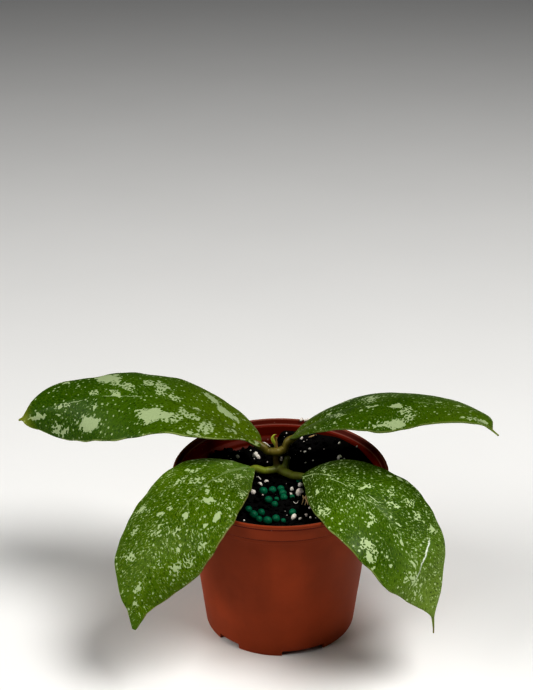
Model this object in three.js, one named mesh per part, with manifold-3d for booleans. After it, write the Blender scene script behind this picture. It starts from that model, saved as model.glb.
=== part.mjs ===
// A young hoya: a rooted cutting with four large leaves, in a round thin-walled nursery pot.
//
// Units are millimetres and +Z is up. The origin is the centre of the pot's underside, on the
// surface that the pot stands on. +X runs to the right and the front of the plant faces -Y.

import * as THREE from "three";
import { mergeVertices } from "three/addons/utils/BufferGeometryUtils.js";
import Module from "manifold-3d";

const wasm = await Module();
wasm.setup();

// ---------------------------------------------------------------- driving dimensions

const GAP = 0.3; // clearance between pieces that touch

// The pot. Radii and heights are those of the outer face; a wall's inner face follows it.
const POT = {
  height: 84,
  segments: 56,
  wall: 1.3,
  baseRadius: 37.8,
  bodyTopRadius: 46.2, // under the shoulder band
  bodyTopZ: 70.9,
  bandRadius: 48.4, // narrow band between the body and the collar
  collarZ: 74.7, // lower edge of the collar
  collarBottomRadius: 50.5,
  collarTopRadius: 51.4,
  lipRadius: 53,
  lipDepth: 1.8,
  ledgeDrop: 2.8, // the ledge inside the mouth lies this far under the rim
  ledgeWidth: 1.6,
  floorUnderZ: 3.2, // the floor is raised on a foot ring and a central pad
  floorThickness: 1.3,
  footRingWidth: 2.8,
  padRadius: 9,
};

// The foot ring is notched. Each pair is a notch's two ends in degrees from the front (-Y),
// counted towards +X, and every notch has a twin on the far side of the pot.
const FOOT_NOTCHES = [
  [-52, -33],
  [1, 34],
];
const FOOT_NOTCH_HEIGHT = 2.7;
const DRAIN_HOLES = { count: 5, radius: 4.5, circle: 24 };

// The potting mix. It lies higher at the back than in front.
const SOIL = { level: 77, riseToBack: 2.2, riseToRight: 0.8, reach: 48, segments: 40, rings: 6 };
// At the back left it has sunk along the wall: between two angles, in degrees from +X, and from an
// inner to an outer radius.
const SOIL_HOLLOW = { from: 91, to: 176, soften: 9, innerRadius: 32, outerRadius: 45, depth: 7.5 };
const SOIL_SEED = 12;
const CRUMBS = { count: 34, smallest: 0.9, largest: 1.9 }; // pieces of perlite
const BEAD_RADIUS = 1.7; // slow-release feed beads
const BEADS_PER_HEAP = 9;
const BEAD_HEAPS = [
  { x: -2, y: -12.5, spread: 7.5 },
  { x: -5.5, y: -30, spread: 8.5 },
];

// The stem. The old cutting stands in its hole and ends in a cut stub over the lower node.
// A short side shoot carries the upper node and the young tip.
const LOWER_NODE = [-1, 8, 79.6];
const UPPER_NODE = [-1.8, 8, 89.6];
const STEM = {
  buriedRadius: 2,
  buriedEndZ: 36,
  stubTop: [3.4, 8.5, 86.6],
  stubRadius: 1.6,
  lowerNodeRadius: 2.5,
  shootRadius: 1.55,
  upperNodeRadius: 2.2,
};
const SHOOT_TIP = {
  path: [UPPER_NODE, [-2.8, 8, 93], [-4.1, 8, 95.8], [-3.8, 8, 98.2], [-1.8, 7.9, 98.9]],
  baseRadius: 1.1,
  endRadius: 0.45,
};

// The leaves. A leaf's midrib starts at base and runs for length; heading is its compass angle
// from +X and pitch its climb, both in degrees, each given as the control values of a smooth
// curve from base to tip. roll turns the blade about the midrib. foldRight and foldLeft lift
// each half of the blade from the flat. halfWidth is scaled by a sine whose shape is given as
// [lean towards the tip, bluntness at the base, sharpness at the tip]. The drip tip is given as
// [how far it runs past the blade, its whole length, its half width]. Each swell is [side, place,
// size, reach]: it widens the left (1) or right (-1) half there, or narrows it. A bend is where
// the blade droops more sharply, by twice its degrees. The petiole hangs by sag at its middle.
const BLADE = { middle: 1.3, margin: 0.8, rib: 1.2, pillow: 0.06, foot: 1, rows: 24 };
const FOLD_FROM = 8; // half width from which a blade has its whole fold
const PETIOLE_RADIUS = 1.6;
const LEAVES = [
  {
    name: "leaf_upper_left",
    node: UPPER_NODE,
    sag: 1.7,
    base: [-9.9, 9, 93.3],
    length: 132,
    halfWidth: 27.5,
    heading: [172, 173, 171],
    pitch: [29.4, 37, -33, -26],
    roll: [8, -12],
    foldRight: [2, 4, -32, 25],
    foldLeft: [11, -2, -32, -75],
    shape: [0.83, 0.44, 0.58],
    dripTip: [2, 9, 2.6],
    swells: [
      [1, 0.1, -2.6, 0.07],
      [1, 0.36, -1.2, 0.07],
      [1, 0.86, 1, 0.08],
      [-1, 0.57, 2, 0.05],
      [-1, 0.7, -3, 0.05],
      [-1, 0.88, 5.5, 0.07],
    ],
    ripple: [0.5, 3.2, 0.4],
    color: 0x3c6414,
  },
  {
    name: "leaf_upper_right",
    node: UPPER_NODE,
    sag: 1.7,
    base: [4.7, 8.9, 95.7],
    length: 114.5,
    halfWidth: 27.5,
    heading: [-4, -16, -50],
    pitch: [40, 26, 7, -20],
    roll: [-27, -41],
    foldRight: [-13, -15, -87, 0],
    foldLeft: [21, 24, -2, 29],
    shape: [1, 0.64, 0.73],
    dripTip: [4, 6, 1.2],
    swells: [
      [1, 0.2, -2, 0.12],
      [1, 0.9, 4.5, 0.06],
      [-1, 0.1, -1, 0.06],
      [-1, 0.85, 0.6, 0.06],
    ],
    ripple: [0.5, 2.7, 1.9],
    color: 0x3a6213,
  },
  {
    name: "leaf_lower_left",
    node: LOWER_NODE,
    sag: 1.2,
    base: [-13.3, 3.4, 82.5],
    length: 116.5,
    halfWidth: 28,
    heading: [231, 228, 242],
    pitch: [23, 7, -61, -73],
    roll: [-1, 8],
    foldRight: [11, 12, -54, 36],
    foldLeft: [-37, 16, -6, -54],
    shape: [1.04, 0.8, 1.11],
    dripTip: [2.5, 8, 4.6],
    swells: [
      [1, 0.2, -0.8, 0.15],
      [1, 0.68, 1.4, 0.1],
      [1, 0.87, 1.6, 0.09],
      [-1, 0.48, -1.6, 0.16],
      [-1, 0.77, 4.2, 0.08],
      [-1, 0.9, 3, 0.05],
    ],
    ripple: [0.6, 2.9, 3.1],
    color: 0x46701a,
  },
  {
    name: "leaf_lower_right",
    node: LOWER_NODE,
    sag: 1.2,
    base: [11.2, -7.2, 84.8],
    length: 120,
    halfWidth: 27,
    heading: [-56, -32, -19],
    pitch: [37, -25, -60, -89],
    roll: [16, 6],
    foldRight: [-38, 23, 6, -38],
    foldLeft: [5, -21, -4, 19],
    shape: [1.05, 0.73, 1.11],
    dripTip: [7.5, 9, 1],
    swells: [
      [1, 0.27, -0.8, 0.1],
      [1, 0.65, 1.8, 0.08],
      [1, 0.9, 1.4, 0.05],
      [-1, 0.58, -0.4, 0.05],
      [-1, 0.71, 2.4, 0.06],
      [-1, 0.9, -1.2, 0.05],
    ],
    bend: { place: 0.69, degrees: 10, reach: 0.04 },
    ripple: [0.6, 3.1, 5],
    color: 0x426c18,
  },
];

// ---------------------------------------------------------------- shared helpers

const DEGREES = Math.PI / 180;

// A closed geometry as a solid that can be joined to another one or cut.
function solidOf(geometry) {
  const bare = geometry.clone();
  bare.deleteAttribute("normal");
  bare.deleteAttribute("uv");
  const merged = mergeVertices(bare, 1e-4);
  return new wasm.Manifold(
    new wasm.Mesh({
      numProp: 3,
      vertProperties: new Float32Array(merged.attributes.position.array),
      triVerts: new Uint32Array(merged.index.array),
    }),
  );
}

function geometryOf(solid) {
  const mesh = solid.getMesh();
  const geometry = new THREE.BufferGeometry();
  geometry.setAttribute("position", new THREE.BufferAttribute(mesh.vertProperties, 3));
  geometry.setIndex(new THREE.BufferAttribute(mesh.triVerts, 1));
  geometry.computeVertexNormals();
  return geometry;
}

function joined(solids) {
  return solids.reduce((all, next) => all.add(next));
}

function piece(name, solid, color, roughness) {
  const material = new THREE.MeshStandardMaterial({ color, roughness, metalness: 0 });
  const mesh = new THREE.Mesh(geometryOf(solid), material);
  mesh.name = name;
  return mesh;
}

// A closed surface from rings of equally many points; the first and last rings are capped.
function skinOver(rings) {
  const sides = rings[0].length;
  const corners = rings.flat().flatMap((point) => point.toArray());
  const faces = [];
  for (let i = 0; i + 1 < rings.length; i += 1) {
    for (let j = 0; j < sides; j += 1) {
      const a = i * sides + j;
      const b = i * sides + ((j + 1) % sides);
      faces.push(a, b, b + sides, a, b + sides, a + sides);
    }
  }
  const last = (rings.length - 1) * sides;
  for (let j = 1; j + 1 < sides; j += 1) {
    faces.push(0, j + 1, j, last, last + j, last + j + 1);
  }
  const geometry = new THREE.BufferGeometry();
  geometry.setAttribute("position", new THREE.Float32BufferAttribute(corners, 3));
  geometry.setIndex(faces);
  return geometry;
}

// A round bar along a smooth curve, with a radius that changes along it.
function bar(points, radiusAt, steps, sides) {
  const curve = new THREE.CatmullRomCurve3(points.map((p) => new THREE.Vector3(...p)));
  const frames = curve.computeFrenetFrames(steps);
  const rings = [];
  for (let i = 0; i <= steps; i += 1) {
    const along = i / steps;
    const centre = curve.getPointAt(along);
    const ring = [];
    for (let j = 0; j < sides; j += 1) {
      const turn = (2 * Math.PI * j) / sides;
      const point = centre.clone();
      point.addScaledVector(frames.normals[i], radiusAt(along) * Math.cos(turn));
      point.addScaledVector(frames.binormals[i], radiusAt(along) * Math.sin(turn));
      ring.push(point);
    }
    rings.push(ring);
  }
  return solidOf(skinOver(rings));
}

function ball(centre, radius, detail) {
  const geometry = new THREE.IcosahedronGeometry(radius, detail);
  geometry.translate(...centre);
  return solidOf(geometry);
}

function upright(radius, bottom, top, sides) {
  const geometry = new THREE.CylinderGeometry(radius, radius, top - bottom, sides);
  geometry.rotateX(Math.PI / 2);
  geometry.translate(0, 0, (bottom + top) / 2);
  return geometry;
}

// Repeatable random numbers from 0 to 1.
function seededRandom(seed) {
  let state = seed;
  return () => {
    state = (state * 16807) % 2147483647;
    return state / 2147483647;
  };
}

// ---------------------------------------------------------------- pot

const FLOOR_TOP = POT.floorUnderZ + POT.floorThickness;
const BAND_BOTTOM_Z = POT.bodyTopZ + 0.3;

// The inner face of the pot from the floor up to the ledge, as [radius, height].
const POT_INSIDE = [
  [POT.baseRadius - 0.9, FLOOR_TOP],
  [POT.bodyTopRadius - POT.wall, POT.bodyTopZ - 0.6],
  [POT.bandRadius - POT.wall, POT.bodyTopZ + 1.6],
  [POT.bandRadius - POT.wall + 0.3, POT.collarZ - 0.7],
  [POT.collarBottomRadius - POT.wall - 0.2, POT.collarZ + 1.2],
  [POT.collarTopRadius - POT.ledgeWidth - 0.6, POT.height - POT.ledgeDrop],
];

function potInsideRadius(z) {
  const above = POT_INSIDE.findIndex(([, height]) => height >= z);
  if (above === 0) return POT_INSIDE[0][0];
  const [r1, z1] = POT_INSIDE.at(above - 1);
  const [r2, z2] = POT_INSIDE.at(above);
  return THREE.MathUtils.lerp(r1, r2, (z - z1) / (z2 - z1));
}

function potShell() {
  const ledgeZ = POT.height - POT.ledgeDrop;
  const lipBottomZ = POT.height - POT.lipDepth;
  const mouthRadius = POT.lipRadius - 1.2;
  const outside = [
    [0, 0],
    [POT.padRadius, 0],
    [POT.padRadius + 0.6, POT.floorUnderZ],
    [POT.baseRadius - POT.footRingWidth - 0.5, POT.floorUnderZ],
    [POT.baseRadius - POT.footRingWidth, 0],
    [POT.baseRadius, 0],
    [POT.bodyTopRadius, POT.bodyTopZ],
    [POT.bandRadius - 0.2, BAND_BOTTOM_Z],
    [POT.bandRadius, POT.collarZ - 0.3],
    [POT.collarBottomRadius, POT.collarZ],
    [POT.collarTopRadius, lipBottomZ - 0.3],
    [POT.lipRadius, lipBottomZ],
    [POT.lipRadius, POT.height - 0.4],
    [POT.lipRadius - 0.4, POT.height],
    [mouthRadius, POT.height],
    [mouthRadius - 0.3, POT.height - 0.4],
    [POT.collarTopRadius - 0.9, ledgeZ + 0.2],
  ];
  const inside = POT_INSIDE.toReversed();
  const profile = [...outside, ...inside, [0, FLOOR_TOP]];
  const geometry = new THREE.LatheGeometry(
    profile.map(([r, z]) => new THREE.Vector2(r, z)),
    POT.segments,
  );
  geometry.rotateX(Math.PI / 2);
  return solidOf(geometry);
}

// A wedge that takes a notch out of the foot ring, between two angles from the front.
function footNotch(from, to) {
  const start = (from - 90) * DEGREES;
  const end = (to - 90) * DEGREES;
  const sector = new THREE.Shape();
  sector.absarc(0, 0, POT.baseRadius + 3, start, end, false);
  sector.absarc(0, 0, POT.baseRadius - POT.footRingWidth - 2, end, start, true);
  sector.closePath();
  const geometry = new THREE.ExtrudeGeometry(sector, {
    depth: FOOT_NOTCH_HEIGHT + 1,
    bevelEnabled: false,
    curveSegments: 5,
  });
  geometry.translate(0, 0, -1);
  return solidOf(geometry);
}

function drainHole(index) {
  const geometry = upright(DRAIN_HOLES.radius, POT.floorUnderZ - 1, FLOOR_TOP + 1, 16);
  const turn = (2 * Math.PI * (index + 0.5)) / DRAIN_HOLES.count;
  geometry.translate(DRAIN_HOLES.circle * Math.cos(turn), DRAIN_HOLES.circle * Math.sin(turn), 0);
  return solidOf(geometry);
}

function pot() {
  let shell = potShell();
  for (const [from, to] of FOOT_NOTCHES) {
    shell = shell.subtract(footNotch(from, to));
    shell = shell.subtract(footNotch(from + 180, to + 180));
  }
  for (let i = 0; i < DRAIN_HOLES.count; i += 1) {
    shell = shell.subtract(drainHole(i));
  }
  return piece("pot", shell, 0x6b2a1a, 0.5);
}

// ---------------------------------------------------------------- soil

// The lumpy top of the potting mix.
function soilHeight(x, y) {
  const slope = (SOIL.riseToBack * y + SOIL.riseToRight * x) / SOIL.reach;
  const humps = 0.8 * Math.sin(x / 8.5 + 0.4) * Math.cos(y / 10 - 0.4);
  const lumps = 0.45 * Math.sin(x / 3.9) * Math.sin(y / 3.3 + 2);
  return SOIL.level + slope + humps + lumps - SOIL_HOLLOW.depth * hollowShare(x, y);
}

// How much of the hollow's depth a place has, from 0 to 1.
function hollowShare(x, y) {
  const { from, to, soften, innerRadius, outerRadius } = SOIL_HOLLOW;
  const { smoothstep } = THREE.MathUtils;
  const turn = (Math.atan2(y, x) / DEGREES + 360) % 360;
  const start = smoothstep(turn, from - soften / 2, from + soften / 2);
  const end = smoothstep(turn, to - soften, to + soften);
  return (start - end) * smoothstep(Math.hypot(x, y), innerRadius, outerRadius);
}

function soilRing(radius, heightAt) {
  const ring = [];
  for (let j = 0; j < SOIL.segments; j += 1) {
    const turn = (2 * Math.PI * j) / SOIL.segments;
    const x = radius * Math.cos(turn);
    const y = radius * Math.sin(turn);
    ring.push(new THREE.Vector3(x, y, heightAt(x, y)));
  }
  return ring;
}

function soilMound() {
  const rings = [soilRing(POT.lipRadius, () => 0)];
  for (let i = SOIL.rings; i > 0; i -= 1) {
    rings.push(soilRing((POT.lipRadius * i) / SOIL.rings, soilHeight));
  }
  return solidOf(skinOver(rings)).intersect(potSpace());
}

// The space inside the pot that the mix can fill, clear of the floor and the wall.
function potSpace() {
  const wall = POT_INSIDE.map(([r, z]) => new THREE.Vector2(r - GAP - 0.1, Math.max(z, FLOOR_TOP + GAP)));
  const bottom = new THREE.Vector2(0, FLOOR_TOP + GAP);
  const top = new THREE.Vector2(0, POT.height - POT.ledgeDrop);
  const geometry = new THREE.LatheGeometry([bottom, ...wall, top], POT.segments);
  geometry.rotateX(Math.PI / 2);
  return solidOf(geometry);
}

// A crumb or bead that sits half sunk in the mix.
function lump(x, y, radius, stretch, turn, detail) {
  const geometry = new THREE.IcosahedronGeometry(radius, detail);
  geometry.scale(stretch, 1, 1 / stretch);
  geometry.rotateX(turn);
  geometry.rotateZ(2 * turn);
  geometry.translate(x, y, soilHeight(x, y) + 0.25 * radius);
  return solidOf(geometry);
}

function crumbs(random) {
  const reach = potInsideRadius(SOIL.level - SOIL_HOLLOW.depth) - 3;
  const solids = [];
  for (let i = 0; i < CRUMBS.count; i += 1) {
    const radius = THREE.MathUtils.lerp(CRUMBS.smallest, CRUMBS.largest, random());
    const turn = 2 * Math.PI * random();
    const out = reach * Math.sqrt(random());
    const x = out * Math.cos(turn);
    const y = out * Math.sin(turn);
    const stretch = 1 + 0.35 * random();
    const clearOfStem = Math.hypot(x - LOWER_NODE[0], y - LOWER_NODE[1]) > 7;
    if (clearOfStem) solids.push(lump(x, y, radius, stretch, turn, 0));
  }
  return solids;
}

// Beads lie in loose heaps, side by side, on a sunflower spiral.
function beads() {
  const solids = [];
  const goldenTurn = Math.PI * (3 - Math.sqrt(5));
  for (const heap of BEAD_HEAPS) {
    for (let i = 0; i < BEADS_PER_HEAP; i += 1) {
      const out = heap.spread * Math.sqrt((i + 0.5) / BEADS_PER_HEAP);
      const x = heap.x + out * Math.cos(i * goldenTurn);
      const y = heap.y + 0.8 * out * Math.sin(i * goldenTurn);
      solids.push(lump(x, y, BEAD_RADIUS, 1, i, 0));
    }
  }
  return solids;
}

function soil() {
  const random = seededRandom(SOIL_SEED);
  const filled = joined([soilMound(), ...crumbs(random), ...beads()]);
  const hole = upright(STEM.buriedRadius + GAP + 0.1, STEM.buriedEndZ - GAP, POT.height, 16);
  hole.translate(LOWER_NODE[0], LOWER_NODE[1], 0);
  return piece("soil", filled.subtract(solidOf(hole)), 0x1d1712, 0.95);
}

// ---------------------------------------------------------------- stem

// The whole woody and green axis; every radius can be grown to cut room for it in a neighbour.
function stemSolid(grown) {
  const [x, y] = LOWER_NODE;
  const cutting = upright(STEM.buriedRadius + grown, STEM.buriedEndZ, LOWER_NODE[2] - 1, 14);
  cutting.translate(x, y, 0);
  const stubFoot = [x + 0.9, y, LOWER_NODE[2] - 0.3];
  const stubMiddle = [x + 2.9, y + 0.3, LOWER_NODE[2] + 3];
  const stub = bar(
    [stubFoot, stubMiddle, STEM.stubTop],
    (t) => STEM.stubRadius + 0.4 * (1 - t) + grown,
    6,
    12,
  );
  const shoot = bar(
    [LOWER_NODE, [x - 1.4, y, LOWER_NODE[2] + 4.5], UPPER_NODE],
    (t) => STEM.shootRadius + 0.25 * Math.cos(2 * Math.PI * t) + grown,
    7,
    12,
  );
  const tip = bar(
    SHOOT_TIP.path,
    (t) => THREE.MathUtils.lerp(SHOOT_TIP.baseRadius, SHOOT_TIP.endRadius, t * t) + grown,
    12,
    8,
  );
  return joined([
    solidOf(cutting),
    ball(LOWER_NODE, STEM.lowerNodeRadius + grown, 1),
    stub,
    shoot,
    ball(UPPER_NODE, STEM.upperNodeRadius + grown, 1),
    tip,
  ]);
}

// ---------------------------------------------------------------- leaves

// A smooth curve through its first and last control value (a Bezier curve in one number).
function ease(values, t) {
  if (values.length === 1) return values[0];
  return THREE.MathUtils.lerp(ease(values.slice(0, -1), t), ease(values.slice(1), t), t);
}

// A rounded step of 1 that falls away on both sides of its place.
function hill(t, place, reach) {
  return Math.exp(-(((t - place) / reach) ** 2));
}

function pitchAt(leaf, t) {
  const climb = ease(leaf.pitch, t);
  if (!leaf.bend) return climb * DEGREES;
  const { place, degrees, reach } = leaf.bend;
  return (climb + degrees * (hill(t, place - reach, reach) - hill(t, place + reach, reach))) * DEGREES;
}

function direction(leaf, t) {
  const heading = ease(leaf.heading, t) * DEGREES;
  const pitch = pitchAt(leaf, t);
  return new THREE.Vector3(
    Math.cos(pitch) * Math.cos(heading),
    Math.cos(pitch) * Math.sin(heading),
    Math.sin(pitch),
  );
}

// The width of the blade's left (1) or right (-1) half at t, from 0 at the base to 1 at the end
// of the drip tip.
function halfWidthAt(leaf, t, side) {
  const [lean, blunt, sharp] = leaf.shape;
  const [past, tipLength, tipHalfWidth] = leaf.dripTip;
  const x = Math.min(1, t / (1 - past / leaf.length));
  const hump = Math.max(0, Math.sin(Math.PI * x ** lean));
  let blade = leaf.halfWidth * hump ** (blunt + (sharp - blunt) * x * x);
  for (const [ofSide, place, size, reach] of leaf.swells) {
    if (ofSide === side) blade += size * Math.sqrt(hump) * hill(t, place, reach);
  }
  if (t < 0.5) return Math.max(BLADE.foot, blade);
  const taper = Math.max(0, 1 - ((1 - t) * leaf.length) / tipLength);
  return Math.max(tipHalfWidth * (1 - 0.8 * taper), blade);
}

// The midrib's places with the blade's cross directions: side points to the leaf's left, seen
// along the midrib, and up is square to the midrib and side.
function midrib(leaf) {
  const steps = 4 * BLADE.rows;
  const place = new THREE.Vector3(...leaf.base);
  const stations = [];
  for (let i = 0; i <= steps; i += 1) {
    const t = i / steps;
    const forward = direction(leaf, t);
    if (i > 0) {
      const mean = direction(leaf, (i - 1) / steps).add(forward);
      place.addScaledVector(mean, leaf.length / steps / 2);
    }
    if (i % 4 === 0) {
      const heading = ease(leaf.heading, t) * DEGREES;
      const level = new THREE.Vector3(-Math.sin(heading), Math.cos(heading), 0);
      const roll = ease(leaf.roll, t) * DEGREES;
      const side = level.clone().applyAxisAngle(forward, roll);
      const up = forward.clone().cross(side);
      stations.push({ t, place: place.clone(), forward, side, up });
    }
  }
  return stations;
}

// One row of the blade, as a closed ring: along the lower face, which carries the rib, from right
// to left, then back along the upper face.
function bladeRing(leaf, station) {
  const { t, place, side, up } = station;
  const right = halfWidthAt(leaf, t, -1);
  const left = halfWidthAt(leaf, t, 1);
  const ribReach = Math.min(0.2, 1.3 / Math.max(left, right));
  const rib = Math.min(BLADE.rib, left, right) * (1 - t) ** 0.6;
  const across = [-1, -0.78, -0.54, -0.3, -ribReach, 0, ribReach, 0.3, 0.54, 0.78, 1];
  const [rippleSize, rippleCount, ripplePhase] = leaf.ripple;
  const ripple = rippleSize * Math.sin(Math.PI * t) * Math.sin(2 * Math.PI * rippleCount * t + ripplePhase);
  const upper = [];
  const lower = [];
  for (const u of across) {
    const reach = Math.abs(u);
    const halfWidth = u < 0 ? right : left;
    const flatten = Math.min(1, halfWidth / FOLD_FROM); // the blade is flat where it is narrow
    const fold = ease(u < 0 ? leaf.foldRight : leaf.foldLeft, t) * flatten * DEGREES;
    const pillow = 4 * BLADE.pillow * (reach - reach * reach);
    const rise = halfWidth * (reach * Math.sin(fold) + pillow) + ripple * reach ** 3;
    const middle = place.clone();
    middle.addScaledVector(side, halfWidth * u * Math.cos(fold));
    middle.addScaledVector(up, rise);
    const lean = -Math.sign(u) * fold * Math.min(1, 4 * reach);
    const outward = up.clone().multiplyScalar(Math.cos(lean)).addScaledVector(side, Math.sin(lean));
    const half = THREE.MathUtils.lerp(BLADE.middle, BLADE.margin, reach) / 2;
    const keel = u === 0 ? rib : 0;
    upper.push(middle.clone().addScaledVector(outward, half));
    lower.push(middle.clone().addScaledVector(outward, -half - keel));
  }
  return [...lower, ...upper.toReversed()];
}

// The petiole runs from the stem's node to the blade and on under it, where it becomes the rib.
function petiole(leaf, stations) {
  const node = new THREE.Vector3(...leaf.node);
  const [first] = stations;
  const under = (station, drop) => station.place.clone().addScaledVector(station.up, -drop);
  const joint = first.place.clone().addScaledVector(first.forward, -1.5);
  const bend = node.clone().lerp(joint, 0.5).add(new THREE.Vector3(0, 0, -leaf.sag));
  const path = [node, bend, joint, under(stations[1], 0.7), under(stations[2], 0.6)];
  const radiusAt = (t) => THREE.MathUtils.lerp(PETIOLE_RADIUS, 0.9, t * t);
  return bar(path.map((point) => point.toArray()), radiusAt, 13, 9);
}

function leafSolid(leaf) {
  const stations = midrib(leaf);
  const blade = solidOf(skinOver(stations.map((station) => bladeRing(leaf, station))));
  return blade.add(petiole(leaf, stations));
}

// ---------------------------------------------------------------- the plant in its pot

const plant = new THREE.Group();
plant.name = "potted_hoya";
plant.add(pot());
plant.add(soil());
plant.add(piece("stem", stemSolid(0), 0x6f7a2c, 0.6));

const roomForStem = stemSolid(GAP);
for (const leaf of LEAVES) {
  const clear = leafSolid(leaf).subtract(roomForStem);
  const kept = clear.decompose().reduce((best, part) => (part.volume() > best.volume() ? part : best));
  plant.add(piece(leaf.name, kept, leaf.color, 0.45));
}

export default plant;
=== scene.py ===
import math
from types import SimpleNamespace

import bmesh
import bpy
import numpy as np
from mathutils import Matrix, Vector, noise


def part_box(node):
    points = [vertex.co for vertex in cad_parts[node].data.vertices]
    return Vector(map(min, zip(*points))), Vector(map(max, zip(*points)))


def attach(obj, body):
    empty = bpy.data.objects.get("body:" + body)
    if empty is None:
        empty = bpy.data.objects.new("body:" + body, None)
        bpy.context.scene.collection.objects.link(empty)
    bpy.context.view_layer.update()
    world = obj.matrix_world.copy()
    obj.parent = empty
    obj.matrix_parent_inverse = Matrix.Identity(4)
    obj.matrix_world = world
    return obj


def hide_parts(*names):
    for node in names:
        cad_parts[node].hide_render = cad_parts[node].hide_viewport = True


# A young hoya in a nursery pot: four speckled leaves on a short stem, in dark potting mix.
# Shapes are worked out in millimetres and become metres when a mesh is made. The studio and the
# settings are in metres.

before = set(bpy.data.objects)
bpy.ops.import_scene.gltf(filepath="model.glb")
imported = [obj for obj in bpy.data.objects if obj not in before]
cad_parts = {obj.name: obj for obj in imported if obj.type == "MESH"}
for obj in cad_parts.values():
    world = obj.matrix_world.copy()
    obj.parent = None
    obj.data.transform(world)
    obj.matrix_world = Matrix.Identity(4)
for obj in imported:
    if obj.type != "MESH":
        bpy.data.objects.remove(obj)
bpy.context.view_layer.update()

bl_info = {
    "name": "Potted hoya",
    "version": (1, 0, 0),
    "blender": (4, 5, 0),
    "location": "View3D > Sidebar > Hoya",
    "description": "Builds a young potted hoya with its pot, potting mix, stem and leaves",
    "category": "Object",
}

MM = 0.001
BODY = "root"


# ------------------------------------------------------------------ shader expressions

# Places of a Mix node's sockets when it mixes colours.
MIX_FACTOR, MIX_FIRST, MIX_SECOND, MIX_RESULT = 0, 6, 7, 2


class Value:
    """A number inside a material. Python arithmetic on it adds Math nodes."""

    def __init__(self, shader, socket):
        self.shader = shader
        self.socket = socket

    def _math(self, operation, *others):
        return self.shader.node("ShaderNodeMath", {"operation": operation}, [self, *others])

    def __add__(self, other):
        return self._math("ADD", other)

    __radd__ = __add__

    def __sub__(self, other):
        return self._math("SUBTRACT", other)

    def __rsub__(self, other):
        return (self * -1.0)._math("ADD", other)

    def __mul__(self, other):
        return self._math("MULTIPLY", other)

    __rmul__ = __mul__

    def __pow__(self, other):
        return self._math("POWER", other)

    def __abs__(self):
        return self._math("ABSOLUTE")

    def least(self, other):
        return self._math("MINIMUM", other)

    def most(self, other):
        return self._math("MAXIMUM", other)

    def rise(self, low, high):
        """0 below low, 1 above high and a smooth step between them; low may be above high."""
        if low > high:
            return 1.0 - self.rise(high, low)
        settings = {"interpolation_type": "SMOOTHSTEP", "clamp": True}
        inputs = {"Value": self, "From Min": low, "From Max": high}
        return self.shader.node("ShaderNodeMapRange", settings, inputs)


def rgba(colour):
    """A colour as a socket takes it. One that is linked already stays as it is."""
    return colour if isinstance(colour, Value) else (*colour, 1.0)


def shade(colour, factor):
    """A colour made darker or lighter by a factor."""
    return [factor * c for c in colour]


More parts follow.
